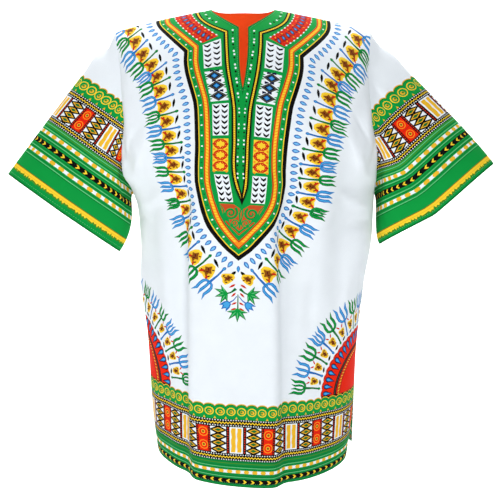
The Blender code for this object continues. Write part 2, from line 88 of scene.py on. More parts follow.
# The worn form by v, the distance down the cloth. left, middle, right: heights in space.
# edge, front, back: depths of the section at its sides and middles. slide: the seams' turn.
Section = namedtuple(
    "Section", "v left middle right half_width edge front back shift forward slide squareness"
)
SECTIONS = [Section(*row) for row in (
    (0.090, -0.076, -0.046, -0.076, 0.2060, 0.032, 0.072, 0.090, 0.002, 0.000, 0.000, 2.0),
    (0.130, -0.112, -0.078, -0.112, 0.2010, 0.052, 0.098, 0.108, 0.003, 0.000, -0.002, 2.0),
    (0.200, -0.176, -0.140, -0.176, 0.2010, 0.066, 0.128, 0.122, 0.008, 0.000, -0.008, 2.05),
    (0.265, -0.236, -0.202, -0.236, 0.2100, 0.052, 0.143, 0.128, 0.011, 0.001, -0.013, 2.1),
    (0.310, -0.275, -0.248, -0.275, 0.2100, 0.028, 0.149, 0.130, 0.013, 0.003, -0.016, 2.1),
    (0.345, -0.305, -0.283, -0.305, 0.2055, 0.000, 0.150, 0.131, 0.0175, 0.004, -0.018, 2.15),
    (0.370, -0.330, -0.309, -0.330, 0.2015, 0.000, 0.149, 0.131, 0.0210, 0.005, -0.021, 2.15),
    (0.420, -0.378, -0.358, -0.378, 0.1990, 0.000, 0.145, 0.131, 0.022, 0.006, -0.026, 2.2),
    (0.510, -0.466, -0.450, -0.465, 0.1920, 0.000, 0.141, 0.131, 0.017, 0.008, -0.023, 2.2),
    (0.635, -0.585, -0.577, -0.580, 0.1825, 0.000, 0.138, 0.130, 0.016, 0.010, -0.024, 2.2),
    (0.745, -0.687, -0.688, -0.677, 0.1790, 0.000, 0.134, 0.129, 0.017, 0.010, -0.026, 2.15),
    (0.835, -0.769, -0.780, -0.750, 0.1730, 0.000, 0.1315, 0.128, 0.020, 0.010, -0.029, 2.1),
)]
# Deep folds of the front (-1) and back (1): where each lies and how far it turns over, by v.
FoldStation = namedtuple("FoldStation", "v across turn")
Fold = namedtuple("Fold", "side reach stations")


def fold(side, reach, *rows):
    return Fold(side, reach, [FoldStation(*row) for row in rows])


FOLDS = {
    -1: (
        fold(-1, 0.029, (0.200, 0.084, 0.0), (0.310, 0.085, 0.45), (0.420, 0.087, 1.20),
             (0.640, 0.091, 1.34), (0.750, 0.093, 1.02), (0.835, 0.096, 0.62)),
        fold(1, 0.026, (0.270, 0.060, 0.0), (0.350, 0.062, 0.75), (0.410, 0.064, 1.20),
             (0.500, 0.072, 1.35), (0.660, 0.081, 1.22), (0.835, 0.086, 0.76)),
    ),
    1: (
        fold(-1, 0.024, (0.240, 0.070, 0.0), (0.520, 0.085, 0.90), (0.835, 0.092, 1.30)),
        fold(1, 0.026, (0.220, 0.085, 0.0), (0.500, 0.080, 0.80), (0.835, 0.074, 1.20)),
    ),
}
# Broad swells and hollows: place, lean, half width, half length and height.
Swell = namedtuple("Swell", "u v lean wide long out")
SWELLS = {
    -1: (
        Swell(0.185, 0.400, 0.10, 0.026, 0.110, -0.008),
        Swell(0.140, 0.380, 0.06, 0.024, 0.100, 0.006),
        Swell(0.235, 0.450, -0.12, 0.024, 0.100, 0.005),
        Swell(-0.190, 0.430, -0.10, 0.026, 0.120, -0.006),
        Swell(-0.235, 0.300, 0.30, 0.022, 0.050, 0.006),
        Swell(0.180, 0.700, 0.04, 0.030, 0.110, -0.005),
        Swell(-0.165, 0.700, -0.05, 0.026, 0.110, -0.005),
        Swell(0.010, 0.700, 0.02, 0.034, 0.120, -0.004),
    ),
    1: (
        Swell(-0.180, 0.420, -0.12, 0.028, 0.110, -0.008),
        Swell(0.190, 0.400, 0.10, 0.026, 0.120, -0.007),
        Swell(0.010, 0.600, -0.04, 0.034, 0.180, -0.007),
        Swell(0.190, 0.700, 0.06, 0.030, 0.110, -0.006),
        Swell(-0.180, 0.690, -0.05, 0.028, 0.120, 0.005),
    ),
}
# outer, inner: corners of the cuff. depth: half its depth. sag, ridge: how far its edge bulges
# down, and where. dip: the hollow at the head. tuck: the fullness at the underarm. round: its
# length round. turned, phase, period: the print's shift to the cuff, start and repeat, mm.
Sleeve = namedtuple(
    "Sleeve", "name side outer inner depth sag ridge dip tuck round turned phase period"
)
SLEEVES = (
    Sleeve(
        "left", -1, (-0.3950, -0.026, -0.2700), (-0.2125, -0.016, -0.4040),
        depth=0.046, sag=0.001, ridge=0.50, dip=0.010, tuck=1.1, round=0.522,
        turned=0.0, phase=16.0, period=112.0,
    ),
    Sleeve(
        "right", 1, (0.4215, -0.022, -0.2530), (0.2345, -0.012, -0.3920),
        depth=0.048, sag=0.012, ridge=0.56, dip=0.005, tuck=0.0, round=0.540,
        turned=8.0, phase=33.0, period=132.0,
    ),
)
HEAD_WAY = (0.68, -0.74)
UNDER_WAY = (0.90, -0.44)
HEAD_PULL = 0.42
CUFF_PULL = 0.75
CUFF_LEAN = 0.20
DIP_PLACE = 0.13
DIP_LENGTH = 0.07
DIP_START = 0.05

# Fine creases. start, end: cloth points in mm. bow: how far the line bends sideways.
# wide: half width. out: height at its strongest. peak: where along it that is.
Crease = namedtuple("Crease", "start end bow wide out peak", defaults=(0.5,))


def creases(*rows):
    return [Crease(*row) for row in rows]


FRONT_CREASES = creases(
    ((-232, 150), (-196, 330), 16, 12, -4.6, 0.5),
    ((-206, 120), (-176, 300), 12, 11, 2.4, 0.5),
    ((234, 150), (200, 335), -16, 12, -4.6, 0.5),
    ((208, 130), (180, 300), -12, 11, 2.4, 0.5),
    ((-250, 372), (-120, 330), 10, 8, 2.6),
    ((-268, 392), (-150, 420), -12, 9, -2.6, 0.3),
    ((-225, 330), (-150, 205), 14, 9, 2.4, 0.4),
    ((-212, 300), (-165, 215), -8, 7, -2.0),
    ((-240, 430), (-215, 640), 10, 11, 2.4, 0.4),
    ((-190, 470), (-178, 655), -8, 12, -2.4),
    ((-150, 430), (-140, 600), 6, 10, 1.6),
    ((255, 368), (140, 330), -10, 8, 2.6),
    ((268, 390), (160, 428), 12, 9, -2.8, 0.35),
    ((226, 325), (158, 200), -12, 9, 2.6, 0.4),
    ((205, 285), (172, 190), 8, 7, -2.2),
    ((210, 440), (190, 660), -10, 11, 2.6, 0.4),
    ((150, 430), (146, 640), 8, 10, -2.0),
    ((246, 460), (238, 600), 6, 9, 1.8),
    ((-60, 480), (-52, 690), 6, 12, 1.4, 0.6),
    ((-20, 520), (-28, 700), -5, 12, -1.3, 0.6),
    ((30, 500), (40, 700), 5, 12, 1.4, 0.6),
    ((-200, 60), (-178, 190), 8, 8, 1.8),
    ((202, 60), (180, 195), -8, 8, 1.8),
    ((-130, 50), (-60, 210), 20, 12, 1.2),
    ((120, 55), (70, 220), -16, 12, 1.2),
)
BACK_CREASES = creases(
    ((-230, 150), (-192, 330), 14, 12, -3.4, 0.5),
    ((232, 155), (190, 325), -15, 12, -3.4, 0.5),
    ((-255, 370), (-130, 335), 10, 8, 2.6),
    ((-265, 392), (-160, 440), -12, 9, -2.8, 0.35),
    ((-222, 320), (-150, 200), 14, 9, 2.4, 0.4),
    ((250, 366), (150, 320), -10, 8, 2.6),
    ((266, 394), (150, 430), 12, 9, -2.6, 0.3),
    ((224, 330), (165, 190), -12, 9, 2.6, 0.4),
    ((-230, 450), (-205, 660), 10, 11, 2.4, 0.4),
    ((-140, 440), (-150, 640), -8, 11, -2.0),
    ((215, 440), (196, 650), -10, 11, 2.5, 0.4),
    ((140, 450), (150, 640), 8, 10, -1.9),
    ((-40, 420), (-30, 690), 8, 14, 1.8, 0.6),
    ((50, 460), (40, 700), -6, 13, -1.6, 0.6),
    ((0, 140), (8, 330), 6, 14, -1.4),
    ((-120, 60), (-70, 230), 16, 12, 1.3),
    ((126, 60), (64, 240), -16, 12, 1.3),
)
# On a sleeve the cloth points count round from the outer fold and up from the cuff.
SLEEVE_CREASES = creases(
    ((30, 300), (88, 178), 8, 13, -3.4, 0.45),
    ((76, 296), (128, 190), 10, 11, 3.2, 0.45),
    ((118, 268), (176, 120), 12, 12, -2.8, 0.4),
    ((-40, 300), (-96, 180), -8, 13, -3.2, 0.45),
    ((-20, 280), (40, 120), 12, 8, 2.2, 0.35),
    ((70, 262), (100, 120), -12, 8, 2.4, 0.4),
    ((110, 235), (170, 95), 12, 8, -2.4, 0.35),
    ((150, 185), (215, 60), 10, 8, 2.4, 0.4),
    ((190, 150), (252, 40), -8, 8, -2.2, 0.4),
    ((-70, 262), (-110, 110), 10, 8, 2.2, 0.35),
    ((-120, 225), (-180, 90), -12, 8, -2.2, 0.4),
    ((-160, 180), (-222, 50), 10, 8, 2.2, 0.4),
    ((20, 120), (30, 20), 5, 9, -1.4, 0.6),
    ((110, 110), (118, 15), -6, 10, 1.5, 0.6),
    ((-60, 120), (-52, 15), 6, 10, 1.5, 0.6),
)


def between_0_1(value):
    return min(max(value, 0.0), 1.0)


def smooth_between(xs, ys, x):
    """A value between table rows: cubic, with no overshoot."""
    if x <= xs[0]:
        return ys[0]
    if x >= xs[-1]:
        return ys[-1]
    steps = [(ys[i + 1] - ys[i]) / (xs[i + 1] - xs[i]) for i in range(len(xs) - 1)]

    def slope(i):
        if i == 0:
            return steps[0]
        if i == len(steps):
            return steps[-1]
        before, after = steps[i - 1], steps[i]
        return 0.0 if before * after <= 0.0 else 2.0 * before * after / (before + after)

    i = bisect_right(xs, x) - 1
    width = xs[i + 1] - xs[i]
    t = (x - xs[i]) / width
    rise = ys[i + 1] - ys[i]
    a = slope(i) * width
    b = slope(i + 1) * width
    return ys[i] + t * (a + t * ((3 * rise - 2 * a - b) + t * (a + b - 2 * rise)))


SECTION_COLUMNS = list(zip(*SECTIONS))


def arc_steps(half_width, depth, edge, squareness):
    """Points of a quarter of the section, middle to edge, with their distances along it."""
    points = []
    for i in range(ARC_STEPS + 1):
        angle = 0.5 * math.pi * i / ARC_STEPS
        across = half_width * math.sin(angle) ** (2.0 / squareness)
        out = edge + (depth - edge) * max(math.cos(angle), 0.0) ** (2.0 / squareness)
        points.append((across, out))
    lengths = [0.0]
    for (x0, y0), (x1, y1) in zip(points, points[1:]):
        lengths.append(lengths[-1] + math.hypot(x1 - x0, y1 - y0))
    return points, lengths


def flat_half_width(v):
    """Half the panel's width at a place down the cloth."""
    swing = between_0_1((v - CHEST_START) / (ARMHOLE_END - CHEST_START))
    return SHOULDER_HALF_WIDTH + (PANEL_HALF_WIDTH - SHOULDER_HALF_WIDTH) * swing ** ARMHOLE_CURVE


def past_neck(u):
    """Portion of the way from the neck side to the shoulder point, rounded off over the neck."""
    past = math.hypot(u, NECK_ROUNDING) - math.hypot(NECK_HALF_WIDTH, NECK_ROUNDING)
    return past / (SHOULDER_HALF_WIDTH - NECK_HALF_WIDTH)


def seam_top(u):
    """How far down the cloth the shoulder seam lies."""
    return SHOULDER_DROP * past_neck(u)


def ridge_point(u):
    """The shoulder line in space: it falls from the neck side to the shoulder point."""
    fall = past_neck(u)
    drop = SHOULDER_FALL * ((1.0 - SHOULDER_BEND) * fall + SHOULDER_BEND * max(fall, 0.0) ** 4)
    return Vector((SHOULDER_REACH * u / SHOULDER_HALF_WIDTH, 0.0, -drop))


def fold_path(turn):
    """A fold's path from inside to outside, for a half reach of 1: (along, out) at each step."""
    path = [(0.0, 0.0)]
    step = 2.0 / FOLD_STEPS
    for i in range(FOLD_STEPS):
        middle = -1.0 + (i + 0.5) * step
        angle = turn * 0.5 * (1.0 + math.cos(math.pi * middle))
        along, out = path[-1]
        path.append((along + math.cos(angle) * step, out - math.sin(angle) * step))
    return path


@lru_cache(maxsize=4000)
def level(v, facing):
    """What every cloth point at one height shares: its section, folds, arcs and half width."""
    rows, *columns = SECTION_COLUMNS
    row = Section(v, *(smooth_between(rows, column, v) for column in columns))
    states = {}
    for fold in FOLDS[facing]:
        places = [station.v for station in fold.stations]
        across = smooth_between(places, [station.across for station in fold.stations], v)
        turn = smooth_between(places, [station.turn for station in fold.stations], v)
        states[fold.side] = (across, turn, fold.reach, fold_path(turn))
    arcs = {side: arc_steps(row.half_width, depth, row.edge, row.squareness)
            for side, depth in ((-1, row.front), (1, row.back))}
    half = flat_half_width(v)
    ends = {side: folded(half, states[side])[0] for side in (-1, 1)}
    return row, states, arcs, half, ends


def folded(u, state):
    """Distance along the unfolded section and height above the sides, near a fold."""
    across, turn, reach, path = state
    if turn <= 0.0:
        return abs(u), 0.0
    depth = -path[-1][1] * reach
    start = across - reach
    if abs(u) <= start:
        return abs(u), depth
    if abs(u) >= across + reach:
        return start + path[-1][0] * reach + (abs(u) - across - reach), 0.0
    place = (abs(u) - start) / (2.0 * reach) * (len(path) - 1)
    i = min(int(place), len(path) - 2)
    part = place - i
    along = path[i][0] + (path[i + 1][0] - path[i][0]) * part
    out = path[i][1] + (path[i + 1][1] - path[i][1]) * part
    return start + along * reach, depth + out * reach


def middle_height(u, left, right):
    """How far the cloth between the two folds stands out, passing smoothly between them."""
    from_left = folded(0.0, left)[1]
    from_right = folded(0.0, right)[1]
    start, end = -(left[0] - left[2]), right[0] - right[2]
    t = between_0_1((u - start) / (end - start))
    return from_left + (from_right - from_left) * t * t * (3.0 - 2.0 * t)


def swell_height(swells, u, v):
    total = 0.0
    for swell in swells:
        across = (u - swell.u - swell.lean * (v - swell.v)) / swell.wide
        down = (v - swell.v) / swell.long
        total += swell.out * math.exp(-across * across - down * down)
    return total


def ring_place(place, arcs, facing):
    """The point at a distance along the section from its middle, and the way out there."""
    points, lengths = arcs[facing]
    side = -1 if place < 0.0 else 1
    way = 1
    distance = abs(place)
    if distance > lengths[-1]:
        over = distance - lengths[-1]
        points, lengths = arcs[-facing]
        distance = lengths[-1] - over
        way = -1
    i = min(max(bisect_right(lengths, distance) - 1, 0), len(points) - 2)
    part = (distance - lengths[i]) / (lengths[i + 1] - lengths[i])
    (x0, y0), (x1, y1) = points[i], points[i + 1]
    (xa, ya), (xb, yb) = points[max(i - 1, 0)], points[min(i + 2, len(points) - 1)]
    out = Vector((-(yb - ya), (xb - xa))).normalized()
    x, y = x0 + (x1 - x0) * part, y0 + (y1 - y0) * part
    return Vector((side * x, facing * way * y)), Vector((side * out.x, facing * way * out.y))


def section_point(u, v, facing):
    """A cloth point below the shoulders. facing: -1 on the front, 1 on the back."""
    row, states, arcs, half, ends = level(v, facing)
    side = -1 if u < 0.0 else 1
    state = states[side]
    along, raised = folded(u, state)
    if abs(u) <= state[0] - state[2]:
        raised = middle_height(u, states[-1], states[1])
    portion = min(along / ends[side], 1.0)
    quarter = arcs[facing][1][-1]
    pin = between_0_1((PIN_END - v) / (PIN_END - ARMHOLE_END))
    slide = -facing * row.slide * (1.0 - pin * portion ** 2)
    point, out = ring_place(side * quarter * portion + slide, arcs, facing)
    fade = between_0_1((half - abs(u)) / EDGE_FADE)
    point += out * (raised + swell_height(SWELLS[facing], u, v) * fade)
    edge = row.left if u < 0.0 else row.right
    z = row.middle + (edge - row.middle) * portion ** 2
    return Vector((row.shift + point.x, row.forward + point.y, z))


def curve_between(start, leaving, end, arriving, t):
    """A point on the cubic curve from start to end, with its direction at both ends."""
    first = 2 * t ** 3 - 3 * t ** 2 + 1
    third = t ** 3 - 2 * t ** 2 + t
    fourth = t ** 3 - t ** 2
    return start * first + leaving * third + end * (1.0 - first) + arriving * fourth


def panel_point(u, v, facing):
    """A cloth point of the front or the back on the worn form."""
    if v >= CHEST_START:
        return section_point(u, v, facing)
    top = min(seam_top(u), CHEST_START - LEAST_YOKE)
    end = section_point(u, CHEST_START, facing)
    span = CHEST_START - top
    lean = CHEST_LEAN if facing < 0 else 0.0
    leaving = Vector((0.0, facing, -lean)) * span
    arriving = (section_point(u, CHEST_START + TANGENT_STEP, facing) - end) * (span / TANGENT_STEP)
    return curve_between(ridge_point(u), leaving, end, arriving, (v - top) / span)


def vent_open(u, v, point, facing):
    """Moves the corners of a side vent apart: the front one in and forward, the back one out."""
    half = flat_half_width(v)
    down = between_0_1((v - VENT_START) / (LENGTH - VENT_START))
    near = between_0_1((abs(u) / half - 1.0 + VENT_EDGE) / VENT_EDGE)
    amount = down ** 1.5 * near ** 2
    side = -1 if u < 0.0 else 1
    inward = VENT_SPREAD if facing < 0 else -0.5 * VENT_SPREAD
    return point + Vector((-side * inward * amount, facing * VENT_RELIEF * amount, 0.0))


def neck_edge(u, facing):
    """How far down the cloth the neckline lies at a place across it."""
    if facing > 0:
        portion = min(abs(u) / NECK_HALF_WIDTH, 1.0)
        return BACK_NECK_DEPTH * (1.0 - portion ** 4) ** 0.5
    past_slit = max(abs(u) - SLIT_HALF_WIDTH, 0.0)
    portion = min(past_slit / (NECK_HALF_WIDTH - SLIT_HALF_WIDTH), 1.0)
    return FRONT_NECK_DEPTH * (1.0 - portion) ** FRONT_NECK_CURVE


def slit_half_width(v):
    """The slit narrows to a point."""
    down = between_0_1((v - FRONT_NECK_DEPTH) / (SLIT_END - FRONT_NECK_DEPTH))
    return SLIT_HALF_WIDTH * (1.0 - down ** 3)


def armhole_point(side, portion):
    """The armhole's line: shoulder 0, down the front to the underarm 0.5, and up the back."""
    facing = -1 if portion < 0.5 else 1
    down = 2.0 * (portion if portion < 0.5 else 1.0 - portion)
    v = SHOULDER_DROP + (ARMHOLE_END - SHOULDER_DROP) * down
    return panel_point(side * flat_half_width(v), v, facing)


def cuff_axis(sleeve):
    """The way a sleeve points at its cuff: square to the cuff, out, down and a little forward."""
    outer, inner = Vector(sleeve.outer), Vector(sleeve.inner)
    along = (inner - outer).normalized()
    down = Vector((abs(along.z) * sleeve.side, -CUFF_LEAN, -abs(along.x)))
    return (down - along * down.dot(along)).normalized()


def cuff_point(sleeve, portion):
    """The cuff's line: 0 at the outer corner, 0.5 at the inner one."""
    outer, inner = Vector(sleeve.outer), Vector(sleeve.inner)
    across = (outer - inner) / 2
    axis = cuff_axis(sleeve)
    out = axis.cross(across).normalized() * sleeve.depth
    if out.y > 0.0:
        out = -out
    angle = TAU * portion
    place = 0.5 - 0.5 * math.cos(angle)
    point = (outer + inner) / 2 + across * math.cos(angle) + out * math.sin(angle)
    reach = sleeve.ridge if place < sleeve.ridge else 1.0 - sleeve.ridge
    near = 1.0 - abs(place - sleeve.ridge) / reach
    return point + axis * sleeve.sag * near * max(math.sin(angle), 0.0)


def sleeve_path(sleeve, start, end, axis, portion, t):
    """A point on the line down the sleeve from an armhole point to its cuff point."""
    span = (end - start).length
    turn = math.cos(TAU * portion)
    under = 0.5 - 0.5 * turn
    head_way = Vector((sleeve.side * HEAD_WAY[0], 0.0, HEAD_WAY[1]))
    under_way = Vector((sleeve.side * UNDER_WAY[0], 0.0, UNDER_WAY[1]))
    leaving = head_way.lerp(under_way, under ** 4) * span * HEAD_PULL
    arriving = axis * span * (CUFF_PULL + sleeve.tuck * under ** 6)
    point = curve_between(start, leaving, end, arriving, t)
    near = math.exp(-((t - DIP_PLACE) / DIP_LENGTH) ** 2) * min(t / DIP_START, 1.0)
    return point - Vector((0.0, 0.0, sleeve.dip * near * max(turn, 0.0) ** 2))


# ---- a form sampled on a net
def cubic_weights(t):
    return np.stack([
        (-t + 2 * t ** 2 - t ** 3) / 2,
        (2 - 5 * t ** 2 + 3 * t ** 3) / 2,
        (t + 4 * t ** 2 - 3 * t ** 3) / 2,
        (t ** 3 - t ** 2) / 2,
    ], axis=-1)


def padded_net(net, wrap):
    """One more row and column on each side: carried straight on, or from across a wrapped edge."""
    net = np.concatenate([2 * net[:1] - net[1:2], net, 2 * net[-1:] - net[-2:-1]])
    if wrap:
        return np.concatenate([net[:, -2:-1], net, net[:, 1:2]], axis=1)
    before, after = 2 * net[:, :1] - net[:, 1:2], 2 * net[:, -1:] - net[:, -2:-1]
    return np.concatenate([before, net, after], axis=1)


def between(net, across, down, wrap=False):
    """Smooth values between a net's points. across and down count its columns and rows."""
    rows, columns = net.shape[:2]
    full = padded_net(net, wrap)
    j = np.clip(np.floor(across).astype(int), 0, columns - 2)
    i = np.clip(np.floor(down).astype(int), 0, rows - 2)
    wide, tall = cubic_weights(across - j), cubic_weights(down - i)
    total = 0.0
    for a in range(4):
        for b in range(4):
            total = total + full[i + a, j + b] * (tall[:, a] * wide[:, b])[:, None]
    return total


def crease_height(creases, x, y):
    """The height of the fine creases at cloth points in mm."""
    total = np.zeros_like(x)
    for crease in creases:
        start, end = np.array(crease.start, float), np.array(crease.end, float)
        length = np.hypot(*(end - start))
        along = (end - start) / length
        t = ((x - start[0]) * along[0] + (y - start[1]) * along[1]) / length
        off = -(x - start[0]) * along[1] + (y - start[1]) * along[0]
        off = off - crease.bow * 4.0 * t * (1.0 - t)
        fade = np.clip(np.minimum(t / crease.peak, (1.0 - t) / (1.0 - crease.peak)), 0.0, 1.0)
        fade = fade * fade * (3.0 - 2.0 * fade)
        total += crease.out * np.exp(-(off / crease.wide) ** 2) * fade
    return total


class Form:
    """Cloth on the worn form, sampled on a net: the place and way out of each cloth point."""

    def __init__(self, places, outward, wrap=False):
        self.wrap = wrap
        self.places = places
        self.outward = outward
        self.ways = self.find_ways()

    def find_ways(self):
        full = padded_net(self.places, self.wrap)
        across = full[1:-1, 2:] - full[1:-1, :-2]
        down = full[2:, 1:-1] - full[:-2, 1:-1]
        ways = np.cross(across, down) * self.outward
        return ways / np.maximum(np.linalg.norm(ways, axis=-1, keepdims=True), 1e-12)

    def raise_by(self, heights):
        self.places = self.places + self.ways * heights[..., None]
        self.ways = self.find_ways()

    def at(self, across, down):
        places = between(self.places, across, down, self.wrap)
        ways = between(self.ways, across, down, self.wrap)
        return places, ways / np.linalg.norm(ways, axis=-1, keepdims=True)


PANEL_STEP = 4.0 * MM
PANEL_START = -4.0 * MM
PANEL_ROWS = 217
PANEL_COLUMNS = 161
# Fine creases die out over these distances from the side and top seams, mm.
SIDE_FADE = 22.0
TOP_FADE = 30.0


def edge_fade(x, y):
    """Fine creases die out towards a panel's seams, in mm."""
    half = 1000 * np.vectorize(flat_half_width)(y * MM)
    side = np.clip((half - np.abs(x)) / SIDE_FADE, 0.0, 1.0)
    top = np.clip((y - 1000 * np.vectorize(seam_top)(x * MM)) / TOP_FADE, 0.0, 1.0)
    return side * side * (3 - 2 * side) * top


def panel_form(facing, creases):
    """The front or back: columns count across its width, rows count down its length."""
    net = np.empty((PANEL_ROWS, PANEL_COLUMNS, 3))
    flat = np.empty((PANEL_ROWS, PANEL_COLUMNS, 2))
    for i in range(PANEL_ROWS):
        v = PANEL_START + PANEL_STEP * i
        half = flat_half_width(v)
        for j in range(PANEL_COLUMNS):
            u = half * (2.0 * j / (PANEL_COLUMNS - 1) - 1.0)
            flat[i, j] = u * 1000, v * 1000
            if v <= LENGTH:
                net[i, j] = vent_open(u, v, panel_point(u, v, facing), facing)
            else:
                net[i, j] = 2.0 * net[i - 1, j] - net[i - 2, j]
    form = Form(net, facing)
    x, y = flat[..., 0], flat[..., 1]
    form.raise_by(crease_height(creases, x, y) * edge_fade(x, y) * MM)

    def find(points):
        halves = np.vectorize(flat_half_width)(points[:, 1] * MM)
        across = (points[:, 0] * MM / halves + 1.0) / 2.0 * (PANEL_COLUMNS - 1)
        down = (points[:, 1] * MM - PANEL_START) / PANEL_STEP
        return form.at(across, down)

    return find


SLEEVE_COLUMNS = 177
SLEEVE_ROWS = 75
PATH_STEPS = 160
# The share of a sleeve below its head over which fine creases die out.
HEAD_FADE = 0.12


def sleeve_form(sleeve, creases):
    """A sleeve: columns count round from the underarm seam, rows from the cuff to the head.

    Returns the finder and the cloth's height above the cuff, in mm, at places round it in mm.
    """
    axis = cuff_axis(sleeve)
    net = np.empty((SLEEVE_ROWS, SLEEVE_COLUMNS, 3))
    tops = np.empty(SLEEVE_COLUMNS)
    ts = np.linspace(0.0, 1.0, PATH_STEPS + 1)
    for j in range(SLEEVE_COLUMNS):
        portion = (j / (SLEEVE_COLUMNS - 1) + 0.5) % 1.0
        start, end = armhole_point(sleeve.side, portion), cuff_point(sleeve, portion)
        path = np.array([sleeve_path(sleeve, start, end, axis, portion, t) for t in ts])
        height = (np.array(end) - path) @ np.array(axis)
        height = np.minimum.accumulate(height)
        tops[j] = height[0]
        wanted = np.linspace(0.0, height[0], SLEEVE_ROWS)
        for k in range(3):
            net[:, j, k] = np.interp(wanted, height[::-1], path[::-1, k])
    round_mm = sleeve.round * 1000
    across = (np.arange(SLEEVE_COLUMNS) / (SLEEVE_COLUMNS - 1) - 0.5) * round_mm
    portions = np.arange(SLEEVE_ROWS) / (SLEEVE_ROWS - 1)
    form = Form(net, 1.0, wrap=True)
    middle = net.mean(axis=1, keepdims=True)
    if (form.ways * (net - middle)).sum() < 0.0:
        form.outward = -1.0
        form.ways = form.find_ways()
    x = np.broadcast_to(across, net.shape[:2])
    y = portions[:, None] * tops * 1000
    fade = np.clip((1.0 - portions[:, None]) / HEAD_FADE, 0.0, 1.0)
    form.raise_by(crease_height(creases, x, y) * fade * MM)

    def top_at(places):
        return np.interp(places, across, tops * 1000)

    def find(points):
        columns = (points[:, 0] / round_mm + 0.5) * (SLEEVE_COLUMNS - 1)
        return form.at(columns, points[:, 1] / top_at(points[:, 0]) * (SLEEVE_ROWS - 1))

    return find, top_at, form.outward


# ---- inks and shapes of the print, mm
INKS = {
    "ground": ("F1F7FC", "Unprinted cotton"),
    "green": ("069A40", "Leaf green"),
    "shade": ("04702F", "Dark green"),
    "olive": ("4F8A22", "Olive lines"),
    # Hem green: the hem's lower band painted a darker green than the leaf green, as painted shade
    # along the hem.
    "hem_green": ("078A3E", "Hem green"),
    "pale": ("6FCB8A", "Pale green lines"),
    "red": ("F22405", "Orange red"),
    # Facing red: the real red facing inside the neck, painted lighter than the print's red as
    # painted light in the neck's shaded hollow.
    "facing_red_painted_light": ("FF4E18", "Red inside the neck"),
    "rust": ("CC4E22", "Rust"),
    "crimson": ("CE2A12", "Deep red"),
    "orange": ("F9941E", "Orange"),
    "yellow": ("FFD633", "Yellow"),
    "amber": ("F2BC2E", "Amber"),
    "brown": ("8A4A0C", "Brown"),
    "maroon": ("571312", "Maroon"),
    "black": ("050404", "Black"),
    "navy": ("161A3C", "Navy"),
    "blue": ("48A6E2", "Blue"),
    "deep_blue": ("1A6ABC", "Deep blue"),
    "light_blue": ("7CC4F4", "Light blue"),
    "grey": ("5C5A52", "Grey"),
}


def turned(points, x, y, angle, scale=1.0):
    """Points turned by an angle, scaled and moved to a place."""
    c, s = math.cos(angle) * scale, math.sin(angle) * scale
    return [(x + px * c - py * s, y + px * s + py * c) for px, py in points]


def oval(x, y, length, width, angle=0.0, sides=8):
    steps = [TAU * (i + 0.5) / sides for i in range(sides)]
    return turned([(length / 2 * math.cos(a), width / 2 * math.sin(a)) for a in steps], x, y, angle)


def lozenge(x, y, length, width, angle=0.0):
    return turned([(-length / 2, 0), (0, -width / 2), (length / 2, 0), (0, width / 2)], x, y, angle)


def leaf(x, y, length, width, angle=0.0):
    """A leaf pointed at both ends, fuller at its start."""
    a, b = length / 2, width / 2
    shape = [(-a, 0), (-0.62 * a, -0.75 * b), (-0.1 * a, -b), (0.5 * a, -0.66 * b), (a, 0),
             (0.5 * a, 0.66 * b), (-0.1 * a, b), (-0.62 * a, 0.75 * b)]
    return turned(shape, x, y, angle)


def drop(x, y, length, width, angle=0.0):
    """A drop: round at its end, pointed at its start."""
    a, b = length / 2, width / 2
    shape = [(-a, 0), (-0.2 * a, -0.55 * b), (0.35 * a, -b), (0.8 * a, -0.7 * b), (a, 0),
             (0.8 * a, 0.7 * b), (0.35 * a, b), (-0.2 * a, 0.55 * b)]
    return turned(shape, x, y, angle)


def box(x0, y0, x1, y1):
    return [(x0, y0), (x1, y0), (x1, y1), (x0, y1)]


def stroke(points, widths):
    """A drawn line with its width at each point."""
    points = np.array(points, float)
    if np.isscalar(widths):
        widths = [widths] * len(points)
    ways = np.gradient(points, axis=0)
    ways /= np.maximum(np.linalg.norm(ways, axis=1, keepdims=True), 1e-9)
    sides = np.stack([-ways[:, 1], ways[:, 0]], axis=1) * np.array(widths)[:, None] / 2
    return [tuple(p) for p in points + sides] + [tuple(p) for p in (points - sides)[::-1]]


def rounded(points, spacing=6.0, keep=()):
    """A smooth line through points. Those in keep stay corners."""
    points = [np.array(p, float) for p in points]
    line = [points[0]]
    for i in range(len(points) - 1):
        p1, p2 = points[i], points[i + 1]
        p0 = points[i - 1] if i and i not in keep else 2 * p1 - p2
        p3 = points[i + 2] if i + 2 < len(points) and i + 1 not in keep else 2 * p2 - p1
        count = max(int(np.hypot(*(p2 - p1)) / spacing), 1)
        for k in range(1, count + 1):
            t = k / count
            w = cubic_weights(np.array(t))
            line.append(w[0] * p0 + w[1] * p1 + w[2] * p2 + w[3] * p3)
    return np.array(line)


def moved_in(line, distance):
    """A line moved sideways by a distance, to its right as it is walked with y down the cloth."""
    steps = np.diff(line, axis=0)
    steps /= np.linalg.norm(steps, axis=1, keepdims=True)
    sides = np.stack([-steps[:, 1], steps[:, 0]], axis=1)
    ends = np.concatenate([sides[:1], (sides[:-1] + sides[1:]) / 2, sides[-1:]])
    ends /= np.maximum((ends ** 2).sum(axis=1, keepdims=True), 0.2)
    return line + ends * distance


def places_along(line, spacing, start=0.0, end=None):
    """Evenly spaced places on a line: (x, y, angle of the line)."""
    steps = np.diff(line, axis=0)
    lengths = np.concatenate([[0.0], np.cumsum(np.hypot(*steps.T))])
    end = lengths[-1] if end is None else end
    count = max(int(round((end - start) / spacing)), 1)
    found = []
    for k in range(count):
        s = start + (end - start) * (k + 0.5) / count
        i = min(max(bisect_right(lengths, s) - 1, 0), len(steps) - 1)
        part = (s - lengths[i]) / max(lengths[i + 1] - lengths[i], 1e-9)
        x, y = line[i] + steps[i] * part
        found.append((x, y, math.atan2(steps[i][1], steps[i][0])))
    return found


